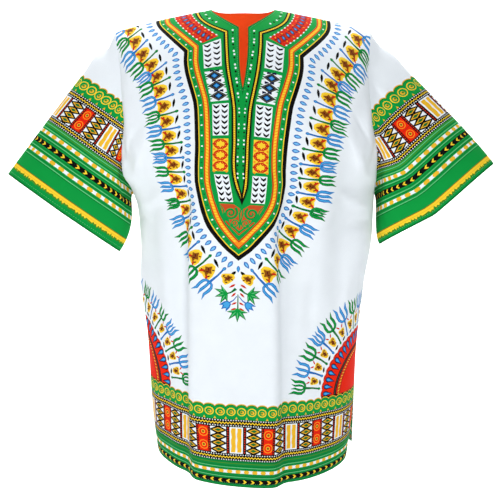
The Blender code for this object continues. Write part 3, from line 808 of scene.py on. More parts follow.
class Print:
    """Shapes in the order they are printed, each over those before it. Its bands end at half."""

    def __init__(self, half, skew=0.0):
        self.shapes = []
        self.half = half
        self.skew = skew
        self.twin = False

    def fill(self, points, ink):
        points = [tuple(p) for p in points]
        self.shapes.append(([(x, y + self.skew * x) for x, y in points], ink))
        if self.twin:
            self.shapes.append(([(-x, y - self.skew * x) for x, y in points][::-1], ink))

    def strip(self, top, bottom, ink):
        self.fill(box(-self.half, top, self.half, bottom), ink)


def nested(sheet, shape, x, y, wide, tall, layers, *rest):
    """One shape inside another. layers: share of the width, share of the height, ink."""
    for across, down, ink in layers:
        sheet.fill(shape(x, y, wide * across, tall * down, *rest), ink)


def rungs(corners, rows):
    """Rows down a four-sided field: the way down, its left and right ends, its height.

    corners: top inner, top outer, bottom outer, bottom inner.
    """
    a, b, c, d = (np.array(p, float) for p in corners)
    tall = np.hypot(*(d - a)) / rows
    for i in range(rows):
        down = (i + 0.5) / rows
        yield a + (d - a) * down, b + (c - b) * down, tall


# ---- the bib round the neck
# Right-hand half lines from the shoulder down to the point, mm.
BIB_LINE = rounded([
    (156, -25), (154, 0), (152, 20), (151, 45), (145, 64), (130, 84), (116, 100), (99, 118),
    (98.5, 135), (95, 155), (87, 183), (80, 207), (75.5, 232), (72.5, 256), (71, 285), (71, 320),
    (69.5, 345), (64, 368), (52, 394), (36, 417), (18, 438), (0, 452),
], 9.0, keep=(7,))
NECK_LINE = rounded([
    (86, -25), (85, -8), (84, 8), (82, 22), (77, 42), (67, 58), (52, 71), (33, 82), (32, 110),
    (29.5, 140), (26.5, 162), (21, 192), (17, 215), (15, 243), (14, 275), (14, 300), (12.5, 322),
    (9.5, 340), (5, 352), (0, 361),
], 8.0, keep=(7,))


def to_centre(half):
    """A half line ended where it meets the centre line."""
    before = half[half[:, 0] > 0.3]
    (x0, y0), (x1, y1) = before[-2:]
    return np.concatenate([before, [[0.0, y1 + (y1 - y0) * x1 / max(x0 - x1, 1e-6)]]])


def bib_area(line, distance):
    """The whole area inside a half line, moved in by a distance and mirrored."""
    half = to_centre(moved_in(line, distance))
    return [tuple(p) for p in half] + [(-x, y) for x, y in half[:-1][::-1]]


def half_line(line, distance):
    half = moved_in(line, distance)
    return half[half[:, 0] > 0.2]


def paint_ring(sheet):
    """The bib's border: black, yellow, dotted green, and a twisted orange rope."""
    for edge, ink in ((0.0, "black"), (6.2, "yellow"), (7.6, "green")):
        sheet.fill(bib_area(BIB_LINE, edge), ink)
    sheet.twin = True
    for k, (x, y, a) in enumerate(places_along(half_line(BIB_LINE, 11.4), 8.2, 2.0)):
        sheet.fill(oval(x, y, 2.6, 3.6, a, 6), "ground" if k % 2 else "shade")
    sheet.twin = False
    for edge, ink in ((15.4, "crimson"), (17.0, "orange"), (22.6, "crimson"), (24.4, "green")):
        sheet.fill(bib_area(BIB_LINE, edge), ink)
    sheet.twin = True
    for x, y, a in places_along(half_line(BIB_LINE, 19.8), 4.8, 2.0):
        sheet.fill(lozenge(x, y, 6.4, 3.6, a + 0.75), "yellow")
    sheet.twin = False


SLIT_DOTS = 21
SLIT_DOT_STEP = 12.4


def paint_neck_band(sheet):
    """Inside the bib: the green yoke round the neck and down the slit, edged with a yellow cord."""
    for edge, ink in ((-1.6, "shade"), (0.0, "black"), (2.5, "yellow"), (5.2, "black"),
                      (7.8, "green")):
        sheet.fill(bib_area(NECK_LINE, edge), ink)
    sheet.twin = True
    for x, y, a in places_along(half_line(NECK_LINE, 3.8), 3.6, 2.0):
        sheet.fill(lozenge(x, y, 3.0, 1.1, a + 1.1), "brown")
    row = half_line(NECK_LINE, 16.5)
    for k, (x, y, a) in enumerate(places_along(row[row[:, 1] < 60], 8.6, 1.0)):
        sheet.fill(oval(x, y, 3.4, 4.4, a, 8), "black" if k % 2 else "ground")
    for k in range(SLIT_DOTS):
        y = 76 + SLIT_DOT_STEP * k
        x = 18.0 - 13.6 * between_0_1((y - 96) / 122.0)
        size = 3.6 if y < 200 else 2.8
        first, second = ("shade", "ground") if k % 2 else ("ground", "black")
        sheet.fill(oval(x, y, size, size + 0.4), first)
        sheet.fill(oval(x - 0.2, y + SLIT_DOT_STEP / 2, size, size + 0.4), second)
    sheet.twin = False


# A field's own tilt follows its sides only in part.
TILT = 0.6


def chevrons(sheet, corners, columns, rows):
    """White cloth with black chevrons."""
    sheet.fill(corners, "ground")
    for left, right, _ in rungs(corners, rows):
        for j in range(columns):
            x, y = left + (right - left) * ((j + 0.5) / columns)
            w = 0.42 * (right - left)[0] / columns
            shape = [(-w, -3.2), (-0.4 * w, -1.2), (0, 0.2), (0.4 * w, -1.2), (w, -3.2),
                     (0.72 * w, 1.2), (0, 3.8), (-0.72 * w, 1.2)]
            sheet.fill(turned(shape, x, y, math.atan2(*(right - left)[::-1]) * TILT), "black")


def diamonds(sheet, corners, rows):
    """White cloth with black-edged diamonds, blue in the middle, between toothed edges."""
    sheet.fill(corners, "ground")
    a, b, c, d = (np.array(p, float) for p in corners)
    for i in range(rows):
        down = i / rows
        for top, side, way in ((a, d - a, 1), (b, c - b, -1)):
            for step in (0.28, 0.5, 0.72):
                x, y = top + side * down + side * (step / rows)
                sheet.fill([(x, y - 1.7), (x + way * 4.6, y), (x, y + 1.7)], "green")
    for left, right, tall in rungs(corners, rows):
        x, y = (left + right) / 2
        wide = (right - left)[0]
        nested(sheet, lozenge, x, y, wide, tall,
               ((0.96, 0.98, "black"), (0.80, 0.80, "grey"), (0.66, 0.66, "black"),
                (0.38, 0.50, "deep_blue"), (0.25, 0.32, "blue")),
               math.atan2(*(right - left)[::-1]) * TILT)
        join = y - tall / 2
        for way in (-1, 1):
            near, far = x + way * 1.2, x + way * wide * 0.26
            sheet.fill([(near, join - 1.0), (far, join - 2.4), (far, join + 2.4),
                        (near, join + 1.0)], "navy")


def flower_lattice(sheet, corners, rows):
    """Yellow cloth with stacked eight-petalled flowers in red."""
    sheet.fill(corners, "yellow")
    for left, right, tall in rungs(corners, rows):
        x, y = (left + right) / 2
        wide = (right - left)[0]
        for k in range(8):
            angle = TAU * (k + 0.5) / 8
            px, py = x + 0.36 * wide * math.cos(angle), y + 0.36 * tall * math.sin(angle)
            sheet.fill(lozenge(px, py, 0.40 * wide, 0.32 * tall, angle + math.pi / 2), "crimson")
            sheet.fill(oval(px, py, 0.11 * wide, 0.09 * tall, angle, 4), "orange")
        for way in (-1, 1):
            sheet.fill(lozenge(x + way * 0.44 * wide, y, 3.6, 4.2), "crimson")
            sheet.fill(lozenge(x + way * 0.40 * wide, y + tall / 2, 5.0, 4.0), "orange")
        star = [(TAU * k / 8, 0.5 if k % 2 else 1.0) for k in range(8)]
        sheet.fill([(x + 0.22 * wide * math.cos(a) * r, y + 0.24 * tall * math.sin(a) * r)
                    for a, r in star], "yellow")


RED_OUTER = rounded([
    (120, -25), (120, 0), (119, 20), (117, 38), (109, 57), (96, 76), (80, 93), (68, 103),
])
RED_INNER = rounded([
    (90, -25), (90, 0), (89, 18), (86, 33), (79, 50), (67, 66), (54, 79), (42, 89),
])


def paint_yoke_strip(sheet):
    """The red strip over each shoulder, with blue seeds and white beads on its edges."""
    sheet.fill([*RED_OUTER, *RED_INNER[::-1]], "crimson")
    count = min(len(RED_OUTER), len(RED_INNER))
    outer, inner = (np.array([line[int(i * (len(line) - 1) / (count - 1))] for i in range(count)])
                    for line in (RED_OUTER, RED_INNER))
    for share in (0.2, 0.8):
        for k, (x, y, a) in enumerate(places_along(outer + (inner - outer) * share, 5.2)):
            ink = "red" if k % 3 else "orange"
            sheet.fill(lozenge(x, y, 5.2, 2.6, a + (0.9 if k % 2 else -0.9)), ink)
    for share in (0.33, 0.67):
        for k, (x, y, a) in enumerate(places_along(outer + (inner - outer) * share, 6.4)):
            sheet.fill(leaf(x, y, 5.4, 1.7, a + (1.3 if k % 2 else 0.5)), "maroon")
    for x, y, a in places_along((outer + inner) / 2, 11.0):
        for long, wide, ink in ((12.4, 6.6, "maroon"), (9.2, 4.2, "deep_blue"), (5.4, 2.2, "blue")):
            sheet.fill(leaf(x, y, long, wide, a + math.pi / 2 + 0.25), ink)
    for row, start in ((outer, 2.4), (inner, 0.0)):
        for x, y, a in places_along(row, 8.8, start):
            sheet.fill(oval(x, y, 4.2, 2.8, a, 6), "ground")


def curl(x, y, radius, turns, start, way, width):
    """A spiral line that winds in to its middle."""
    count = int(14 * turns)
    points = []
    for i in range(count + 1):
        t = i / count
        angle = start + way * TAU * turns * t
        r = radius * (1.0 - 0.88 * t)
        points.append((x + r * math.cos(angle), y + r * math.sin(angle)))
    return stroke(points, [width * (1.0 - 0.35 * i / count) for i in range(count + 1)])


def paint_bib_foot(sheet):
    """The field of curls at the bib's lower end."""
    sheet.fill([(-34, 364), (-12, 364), (0, 372), (12, 364), (34, 364), (26, 380), (13, 394),
                (0, 405), (-13, 394), (-26, 380)], "rust")
    sheet.fill([(-22, 391), (0, 413), (22, 391), (20, 390), (0, 410.4), (-20, 390)], "crimson")
    sheet.twin = True
    sheet.fill(curl(15.5, 377.5, 10.6, 1.9, -2.2, -1, 3.6), "green")
    sheet.fill(curl(15.5, 377.5, 9.0, 1.6, -2.2, -1, 0.9), "shade")
    sheet.fill(curl(8.2, 393.0, 7.2, 1.7, 0.6, 1, 2.4), "green")
    for line, widths in (
        ([(34, 364), (27, 372), (25, 380), (16, 390)], [1, 2, 2.4, 2]),
        ([(1, 371), (2.4, 378), (1, 388), (0.6, 401)], [2.2, 2.6, 2.2, 1.2]),
        ([(16, 392), (9, 401), (1, 406)], [1.5, 2.0, 1.0]),
    ):
        sheet.fill(stroke(line, widths), "green")
    sheet.twin = False


def paint_bib_panels(sheet):
    sheet.twin = True
    paint_yoke_strip(sheet)
    for paint, corners, counts in (
        (chevrons, [(38, 95), (68, 107), (63.5, 151), (34.5, 147)], (2, 5)),
        (diamonds, [(33.5, 154), (62.5, 157), (51, 208), (22, 205)], (3,)),
        (chevrons, [(21.5, 210), (48, 212), (43.5, 262), (19.5, 261)], (2, 6)),
        (flower_lattice, [(19.5, 266), (43.5, 267), (42, 315), (18.5, 315)], (3,)),
        (chevrons, [(17.8, 320), (40, 320), (34, 361), (13, 361)], (2, 5)),
    ):
        paint(sheet, corners, *counts)
    sheet.twin = False
    paint_bib_foot(sheet)


# ---- sprigs and blossoms
FORK_OUTER = ((31, 0), (33, 5.4), (37, 8.4), (44, 9.0), (52, 8.0), (61, 11.6))
FORK_INNER = ((34, 1.2), (38, 3.2), (44, 3.4), (51, 2.0), (58, 3.6))


def sprig(sheet, x, y, angle, fill, line, size=1.0, prongs=4, spread=1.0, bold=1.0):
    """A stem with a bud at its foot and a fork of curling prongs."""
    def put(points, widths, ink):
        sheet.fill(turned(stroke(points, [w * bold for w in widths]), x, y, angle, size), ink)

    put([(2, 0), (16, 0.8), (31, 0)], [2.8, 2.8, 3.8], line)
    sheet.fill(turned(leaf(1.5, 0, 8.0, 5.0), x, y, angle, size), line)
    sheet.fill(turned(leaf(1.5, 0, 5.0, 2.4), x, y, angle, size), fill)
    sheet.fill(turned(oval(32.5, 0, 7, 6.4), x, y, angle, size), line)
    for way in (-1, 1):
        outer = [(px, way * py * spread) for px, py in FORK_OUTER]
        put(outer, [3.0, 4.2, 4.6, 4.8, 4.4, 0.6], line)
        put(outer, [1.2, 1.8, 2.2, 2.4, 1.8, 0.3], fill)
        if prongs == 4:
            inner = [(px, way * py * spread) for px, py in FORK_INNER]
            put(inner, [2.4, 3.2, 3.6, 3.2, 0.6], line)
            put(inner, [1.0, 1.4, 1.8, 1.4, 0.3], fill)
    if prongs == 3:
        put([(31, 0), (40, 0.6), (50, -0.4), (59, 1.0)], [3.4, 4.4, 4.6, 0.6], line)
        put([(32, 0), (40, 0.6), (50, -0.4), (57, 0.8)], [1.4, 2.0, 2.2, 0.3], fill)


# A blossom's edge, heart and spots (place, turn), for a length and width of 1.
BELL = (
    (-0.50, -0.16), (-0.30, -0.34), (0.02, -0.46), (0.34, -0.54), (0.50, -0.34), (0.44, -0.08),
    (0.52, 0.18), (0.42, 0.50), (0.10, 0.50), (-0.24, 0.36), (-0.50, 0.14),
)
BELL_HEART = (
    (-0.38, 0.0), (-0.16, -0.12), (-0.06, -0.30), (0.08, -0.16), (0.32, -0.28), (0.24, -0.04),
    (0.38, 0.20), (0.12, 0.16), (0.00, 0.32), (-0.14, 0.12),
)
BELL_SPOTS = (
    (-0.06, -0.02, 0.9), (0.10, 0.03, -0.5), (0.26, -0.33, 0.4), (0.27, 0.31, -0.4),
    (-0.22, 0.22, -0.9),
)


def blossom(sheet, x, y, angle, length, width):
    """A bell-shaped yellow blossom with a stippled brown heart."""
    def put(points, ink):
        sheet.fill(turned([(px * length, py * width) for px, py in points], x, y, angle), ink)

    put(BELL, "yellow")
    put([(px * 0.74 + 0.02, py * 0.74) for px, py in BELL], "amber")
    put(BELL_HEART, "brown")
    for px, py, turn in BELL_SPOTS:
        sheet.fill(turned(leaf(px * length, py * width, 5.2, 2.2, turn), x, y, angle), "maroon")


# Sprigs round the bib: foot of the stem, the way it points in degrees below level, and its ink.
SPRIGS = (
    (187, 34, 44, "blue"), (176, 62, 42, "green"), (164, 88, 41, "blue"), (146, 110, 38, "green"),
    (128, 134, 30, "blue"), (120, 161, 17, "green"), (114, 191, 12, "blue"), (106, 220, 8, "green"),
    (99.5, 247, 4, "blue"), (95, 272, 2, "green"), (92.5, 296, 0, "blue"), (92, 319, 0, "green"),
    (91, 342, 4, "blue"), (87, 363, 12, "green"), (80, 383, 24, "blue"), (71, 404, 33, "green"),
    (58, 426, 40, "blue"), (41, 447, 44, "green"), (20, 466, 46, "blue"),
)
SPRIG_INKS = {"blue": ("blue", "deep_blue"), "green": ("green", "shade")}


def paint_garland(sheet):
    """Petals, dashes, blossoms and sprigs round the outside of the bib."""
    sheet.twin = True
    for x, y, a in places_along(half_line(BIB_LINE, -13.0), 11.4, 20.0):
        sheet.fill(leaf(x, y, 13.0, 6.6, a - math.pi / 2), "deep_blue")
        sheet.fill(leaf(x, y, 8.6, 3.2, a - math.pi / 2), "light_blue")
    for before, after in zip(SPRIGS, SPRIGS[1:]):
        x, y = (before[0] + after[0]) / 2, (before[1] + after[1]) / 2
        angle = math.radians((before[2] + after[2]) / 2)
        c, s = math.cos(angle), math.sin(angle)
        gap = math.hypot(after[0] - before[0], after[1] - before[1])
        blossom(sheet, x + 20 * c, y + 20 * s, angle, 25.0, min(gap * 0.84, 23.0))
        dash = leaf(x + 3 * c, y + 3 * s, min(gap * 0.62, 16.0), 4.6, angle + 1.25)
        sheet.fill(dash, "black")
        for way in (-1, 1):
            reach, off = 29 + way * 1.5, way * 0.24 * gap
            px, py = x + reach * c - off * s, y + reach * s + off * c
            sheet.fill(leaf(px, py, 10.5, 3.6, angle + way * 0.55), "crimson")
    last = len(SPRIGS) - 1
    for k, (x, y, degrees, ink) in enumerate(SPRIGS):
        before, after = SPRIGS[max(k - 1, 0)], SPRIGS[min(k + 1, last)]
        gap = math.hypot(after[0] - before[0], after[1] - before[1]) / (1 if k in (0, last) else 2)
        sprig(sheet, x, y, math.radians(degrees), *SPRIG_INKS[ink], 1.0, 4 if k % 3 == 1 else 3,
              min(max(gap / 29.0, 0.74), 1.05))
    sheet.twin = False
    paint_finial(sheet)


# The lobes of a leaf: the way each points, and how far it reaches. NOTCH: how far the dips reach.
LOBES = ((-1.35, 13.0), (-0.70, 16.0), (0.0, 15.5), (0.70, 16.0), (1.35, 13.0))
NOTCH = 7.6


def five_lobed_leaf(sheet, x, y, angle, size):
    """A leaf of five pointed lobes with pale veins."""
    corners = [(-2.0, 0.0)]
    for k, (turn, reach) in enumerate(LOBES):
        if k:
            notch = (turn + LOBES[k - 1][0]) / 2
            corners.append((NOTCH * math.cos(notch), NOTCH * math.sin(notch)))
        corners.append((reach * math.cos(turn), reach * math.sin(turn)))
    for shrink, ink in ((1.0, "shade"), (0.84, "green")):
        shape = [corners[0]] + [(shrink * px, shrink * py) for px, py in corners[1:]]
        sheet.fill(turned(shape, x, y, angle, size), ink)
    for turn, reach in LOBES:
        px, py = 0.5 * reach * math.cos(turn), 0.5 * reach * math.sin(turn)
        sheet.fill(turned(leaf(px, py, 0.62 * reach, 0.9, turn), x, y, angle, size), "pale")


CUP = (
    (-1, -3), (4, -5.6), (12, -6.4), (8.5, -2.6), (14, 0), (8.5, 2.6), (12, 6.4), (4, 5.6), (-1, 3),
)


def paint_finial(sheet):
    """The spray below the bib's point."""
    down = math.pi / 2
    sheet.fill(leaf(0, 466, 11, 5.2, down), "deep_blue")
    sheet.fill(leaf(0, 466, 7.4, 2.8, down), "blue")
    sheet.fill(stroke([(0, 506), (0, 520), (0, 534)], [1.4, 1.8, 2.4]), "shade")
    five_lobed_leaf(sheet, 0, 531, down, 1.32)
    sheet.twin = True
    sheet.fill(leaf(8, 474, 13, 4.8, 0.75), "black")
    blossom(sheet, 14.5, 481, 0.35, 20, 17)
    for x, y, long, wide, turn in ((8.5, 493, 11.5, 3.2, 0.55), (6.6, 507, 10.0, 3.2, 0.80),
                                   (5.6, 521, 9.0, 3.0, 0.50), (6.4, 530, 9.0, 2.8, 0.40)):
        sheet.fill(leaf(x, y, long, wide, turn), "crimson")
    sheet.fill(stroke([(3, 497), (10, 503), (17, 506)], [4.6, 2.2, 2.4]), "shade")
    five_lobed_leaf(sheet, 17, 505, 0.36, 1.22)
    sheet.fill(stroke([(1.5, 509), (7, 516), (13, 520)], [1.2, 1.6, 2.4]), "deep_blue")
    inner = [(px * 0.72 + 0.8, py * 0.68) for px, py in CUP]
    for shape, ink in ((CUP, "deep_blue"), (inner, "blue")):
        sheet.fill(turned(shape, 13.0, 520.0, 0.75, 1.15), ink)
    sheet.twin = False


# ---- side medallions
MEDALLION_FOOT = 690.0
MEDALLION_SPRIGS = 10
MEDALLION_DROPS = 15
# Medallions run on past the seam, so that no edge of theirs shows.
PAST_SEAM = 320.0


def paint_medallion(sheet, side, shift, dome_size, reach):
    """A half round on a side seam: a red ring with blue drops, a dome, and sprigs round it."""
    x0, y0 = 1000 * PANEL_HALF_WIDTH - shift, MEDALLION_FOOT

    def put(points, ink):
        sheet.fill([(-x, y) for x, y in points][::-1] if side < 0 else points, ink)

    class Mirror:
        fill = staticmethod(put)

    for k in range(2 * MEDALLION_SPRIGS):
        angle = math.radians(8.0 + 5.1 * k)
        c, s = math.cos(angle), math.sin(angle)
        way = math.atan2(-s, -c)
        x, y = x0 - 126.0 * c, y0 - 129.0 * s
        if k % 2 == 0:
            sprig(Mirror, x, y, way, *SPRIG_INKS["blue" if k % 4 else "green"], reach,
                  3 if k % 3 else 4, 1.12, 1.08)
            continue
        blossom(Mirror, x - 15 * c, y - 15 * s, way, 19, 14)
        put(leaf(x - 1.5 * c, y - 1.5 * s, 11.0, 4.4, way + 1.2), "black")
        for turn in (-1, 1):
            put(leaf(x - 29 * c + turn * 4.5 * s, y - 29 * s - turn * 4.5 * c, 9.0, 2.8,
                     way + turn * 0.6), "crimson")

    def arch(width, height, steps=24, scallops=0, depth=0.0):
        line = []
        for i in range(steps + 1):
            angle = 0.5 * math.pi * i / steps
            bulge = depth * abs(math.sin(scallops * angle))
            line.append((x0 - (width + bulge) * math.cos(angle),
                         y0 - (height + bulge) * math.sin(angle)))
        return line

    def dome(line, ink):
        put(line + [(PAST_SEAM, line[-1][1]), (PAST_SEAM, y0)], ink)

    dome(arch(119, 122, 104, 26, 2.2), "crimson")
    dome(arch(117, 120), "red")
    for k in range(MEDALLION_DROPS):
        angle = 0.5 * math.pi * (k + 0.5) / (MEDALLION_DROPS - 1.5)
        c, s = math.cos(angle), math.sin(angle)
        x, y = x0 - (dome_size + 14.0) * c, y0 - (dome_size + 16.0) * s
        for inward, long, wide, ink in ((0.0, 23.0, 10.6, "black"), (0.8, 18.0, 6.8, "deep_blue"),
                                        (1.4, 13.0, 4.0, "blue")):
            put(drop(x - inward * c, y - inward * s, long, wide, math.atan2(-s, -c)), ink)
    for edge, ink in ((0.0, "black"), (2.4, "grey"), (3.6, "black"), (6.2, "crimson")):
        dome(arch(dome_size - edge, dome_size - edge + 1.0), ink)
    for x, y, a in places_along(np.array(arch(dome_size - 12.0, dome_size - 11.0)), 5.6):
        put(leaf(x, y, 5.8, 2.4, a + 0.8), "yellow")
    dome(arch(dome_size - 18.0, dome_size - 17.0), "red")
    put(box(x0 - 119, y0 - 2.5, PAST_SEAM, y0 + 1.5), "black")


# ---- woven-look bands of hem and cuffs
def repeats(sheet, spacing, start, early=0, late=0.0):
    """The number and place of each repeat between the print's ends."""
    k = math.floor((-sheet.half - start) / spacing) - early
    while start + (k - late) * spacing < sheet.half:
        yield k, start + k * spacing
        k += 1


def beads(sheet, y, spacing=4.3):
    """A dark line of white square beads."""
    sheet.strip(y - 1.7, y + 1.7, "black")
    for k in range(int(2 * sheet.half / spacing)):
        x = (k + 0.5) * spacing - sheet.half
        sheet.fill(box(x - 0.95, y - 0.85, x + 0.95, y + 0.85), "ground")


def zigzag(sheet, top, bottom, spacing=5.6):
    """A black line with a yellow zigzag along it."""
    sheet.strip(top, bottom, "black")
    middle, tall = (top + bottom) / 2, bottom - top
    swing, thick = tall * 0.24, tall * 0.17
    steps = 2 * int(2 * sheet.half / spacing)
    line = [(2 * sheet.half * k / steps - sheet.half, middle + (swing if k % 2 else -swing))
            for k in range(steps + 1)]
    sheet.fill([(x, y - thick) for x, y in line] + [(x, y + thick) for x, y in line[::-1]],
               "yellow")


def dashes(sheet, top, bottom, spacing, start):
    """A white line of yellow dashes."""
    sheet.strip(top, bottom, "ground")
    middle = (top + bottom) / 2
    for _, x in repeats(sheet, spacing, start):
        a, b = x - 0.33 * spacing, x + 0.33 * spacing
        shape = [(a, middle), (a + 1.6, top), (b - 1.6, top), (b, middle), (b - 1.6, bottom),
                 (a + 1.6, bottom)]
        sheet.fill([(min(max(px, -sheet.half), sheet.half), py) for px, py in shape], "amber")


ARROW = ((-3.6, -1), (-0.2, -1), (4.2, 0), (-0.2, 1), (-3.6, 1), (-0.4, 0))


def arrow_band(sheet, top, bottom, spacing=15.0, start=0.0):
    """A black band of yellow arrow heads that point away from its start."""
    sheet.strip(top, bottom, "black")
    middle, tall = (top + bottom) / 2, (bottom - top) * 0.36
    for k, x in repeats(sheet, spacing, start, -1):
        if k == 0:
            sheet.fill(oval(x, middle, 4.4, 4.4), "amber")
            continue
        unit = spacing / 15.0 if k > 0 else -spacing / 15.0
        sheet.fill([(x + px * unit, middle + py * tall) for px, py in ARROW], "yellow")


def lattice(sheet, x0, x1, top, bottom):
    """Four stacked diamonds between white corners."""
    sheet.fill(box(x0, top, x1, bottom), "black")
    middle, wide, rows = (x0 + x1) / 2, x1 - x0, 4
    tall = (bottom - top) / rows
    reach = tall * 0.40
    for i in range(rows + 1):
        y = top + tall * i
        for end, way in ((x0, 1), (x1, -1)):
            sheet.fill([(end, max(y - reach, top)), (end + way * wide * 0.34, y),
                        (end, min(y + reach, bottom))], "ground")
    for i in range(rows):
        nested(sheet, lozenge, middle, top + tall * (i + 0.5), wide, tall,
               ((0.98, 1.0, "black"), (0.78, 0.72, "amber"), (0.50, 0.50, "brown"),
                (0.40, 0.40, "shade")))


def dark_bar(sheet, x0, x1, top, bottom):
    sheet.fill(box(x0, top, x1, bottom), "black")
    count = int((bottom - top) / 4.0)
    for k in range(count):
        y = top + (k + 0.5) * (bottom - top) / count
        sheet.fill(lozenge((x0 + x1) / 2, y, 3.0, 3.4), "crimson")


def disc_block(sheet, x0, x1, top, bottom):
    """Two stacked discs on orange red."""
    sheet.fill(box(x0, top, x1, bottom), "red")
    tall = (bottom - top) / 2
    for i in range(2):
        for share, sides, ink in ((0.74, 10, "orange"), (0.60, 10, "red"), (0.32, 8, "amber"),
                                  (0.20, 6, "brown")):
            sheet.fill(oval((x0 + x1) / 2, top + tall * (i + 0.5), tall * share, tall * share,
                            0, sides), ink)
    for y in (top + 0.6, (top + bottom) / 2, bottom - 0.6):
        sheet.fill(box(x0, y - 0.6, x1, y + 0.6), "crimson")


def striped_block(sheet, x0, x1, top, bottom):
    """White with two wavering yellow stripes."""
    sheet.fill(box(x0, top, x1, bottom), "ground")
    wide = x1 - x0
    for share in (0.28, 0.72):
        left, right = [], []
        for k in range(9):
            y = top + 2.0 + (bottom - top - 4.0) * k / 8
            swing = 0.035 * wide * math.sin(1.9 * k + share * 9)
            left.append((x0 + (share - 0.16) * wide + swing, y))
            right.append((x0 + (share + 0.16) * wide + swing * 0.4, y))
        sheet.fill(left + right[::-1], "amber")


# The repeat of the wide band, for a period of 112: from, to, block.
BLOCKS = (
    (-11.5, 11.5, striped_block), (11.5, 17.5, dark_bar), (17.5, 43.5, lattice),
    (43.5, 48.0, dark_bar), (48.0, 64.0, disc_block), (64.0, 68.5, dark_bar),
    (68.5, 94.5, lattice), (94.5, 100.5, dark_bar),
)


def woven_border(sheet, levels, period, start):
    """The wide band of blocks between beads and zigzags. levels: its four edges down the cloth."""
    first, top, bottom, last = levels
    beads(sheet, first)
    zigzag(sheet, first + 1.6, top)
    beads(sheet, top + 1.6)
    sheet.strip(top + 3.2, bottom, "black")
    for _, x in repeats(sheet, period, start, 1, 0.2):
        for a, b, paint in BLOCKS:
            left, right = x + a * period / 112.0, x + b * period / 112.0
            if right >= -sheet.half - 2.0 and left <= sheet.half + 2.0:
                paint(sheet, left, right, top + 4.0, bottom - 0.8)
    beads(sheet, bottom + 1.6)
    zigzag(sheet, bottom + 3.2, last)
    beads(sheet, last + 1.6)


def scallops(sheet, y, foot, radius, spacing, start, up=1):
    """A green band whose edge is scalloped, with a ring in each scallop.

    up: 1 if the edge is at lower y.
    """
    def edge(lift):
        points = []
        for k, _ in repeats(sheet, spacing, start, 1, 1):
            for step in (-0.5, -0.38, -0.2, 0.0, 0.2, 0.38):
                bulge = math.sqrt(max(1.0 - (step / 0.53) ** 2, 0.0))
                apart = 0.001 * (k + step)
                x = min(max(start + (k + step) * spacing, apart - sheet.half), sheet.half + apart)
                points.append((x, y - up * (bulge * 6.0 + lift)))
        return points

    for lift, ink in ((1.6, "amber"), (0.0, "shade"), (-1.5, "green")):
        points = edge(lift)
        sheet.fill(points + [(points[-1][0], foot), (points[0][0], foot)], ink)
    for _, x in repeats(sheet, spacing, start):
        cy = y + up * (radius - 1.0)
        if abs(x) < sheet.half - radius:
            for px, py, wide, tall, turn, sides, ink in (
                (0.0, 0.0, 2 * radius, 1.9 * radius, 0, 12, "yellow"),
                (-0.2, 0.0, 2 * radius - 3.0, 1.9 * radius - 3.0, 0, 10, "green"),
                (0.8, 0.6, radius * 0.95, radius * 0.80, 0.6, 7, "amber"),
                (-0.3, 0.2, radius * 0.55, radius * 0.45, 0.3, 6, "olive"),
            ):
                sheet.fill(oval(x + px, cy + up * py, wide, tall, turn, sides), ink)
        x += spacing / 2
        sheet.fill([(x - 2.2, foot - up * 1.2), (x, foot - up * 5.4), (x + 2.2, foot - up * 1.2)],
                   "amber")


def lines(sheet, rows, shift=0.0):
    """Thin lines across the print: place, width, ink."""
    for y, width, ink in rows:
        sheet.strip(y - shift - width / 2, y - shift + width / 2, ink)


def paint_hem(sheet):
    """The deep border round the hem."""
    sheet.strip(712.0, 860.0, "green")
    scallops(sheet, 696.0, 716.5, 7.6, 17.6, 8.8)
    woven_border(sheet, (717.6, 725.4, 776.4, 785.6), 112.0, 0.0)
    # The lower band is painted a darker green than the leaf green: painted shade along the hem.
    sheet.strip(788.8, 860.0, "hem_green")
    lines(sheet, ((790.6, 1.0, "shade"), (793.4, 1.2, "olive"), (797.6, 1.2, "shade"),
                  (800.6, 1.0, "pale")))
    dashes(sheet, 805.2, 810.8, 15.4, 3.0)
    lines(sheet, ((815.4, 1.0, "shade"), (817.6, 1.0, "pale")))
    arrow_band(sheet, 821.0, 830.0)
    lines(sheet, ((833.4, 1.2, "shade"),))


# The print runs a little past the side seams.
PRINT_HALF = 308.0
NECK_SHADE = (-54, -50, -44, -36, -27, -18, -12)


def paint_body(facing):
    """The whole print of the front or the back."""
    front = facing < 0
    sheet = Print(PRINT_HALF, hem_slant(facing))
    paint_medallion(sheet, -1, *((19.0, 95.0, 0.92) if front else (0.0, 91.0, 1.0)))
    paint_medallion(sheet, 1, 0.0, 91.0, 1.04 if front else 1.0)
    for paint in (paint_garland, paint_ring, paint_bib_panels, paint_neck_band, paint_hem):
        paint(sheet)
    if front:
        edge = [(x, 1000 * neck_edge(abs(x) * MM, -1) + 3.4) for x in NECK_SHADE]
        edge = [(-56, -6), *edge, (-9.4, 72), (-9.4, 110), (-7.6, 150), (0, 196)]
    else:
        edge = [(-68, -20), (-60, 12), (-48, 34), (-33, 50), (-20, 62), (-15, 90), (-13, 130),
                (-8, 165), (0, 190)]
    edge += [(-x, y) for x, y in edge[:-1][::-1]]
    sheet.shapes.append((edge, "shade"))
    if not front:
        sheet.shapes.append(([(x * 0.95, y - 1.5) for x, y in edge], "red"))
    return sheet.shapes


# Lines across a sleeve's green field: distance from the cuff, ink.
SLEEVE_LINES = (
    (47.4, "shade"), (49.2, "pale"), (52.6, "shade"), (64.0, "shade"), (66.4, "pale"),
    (69.4, "shade"), (84.0, "shade"), (86.2, "pale"), (88.8, "shade"), (100.4, "pale"),
    (103.0, "shade"), (105.4, "olive"), (108.0, "pale"), (110.2, "olive"),
)


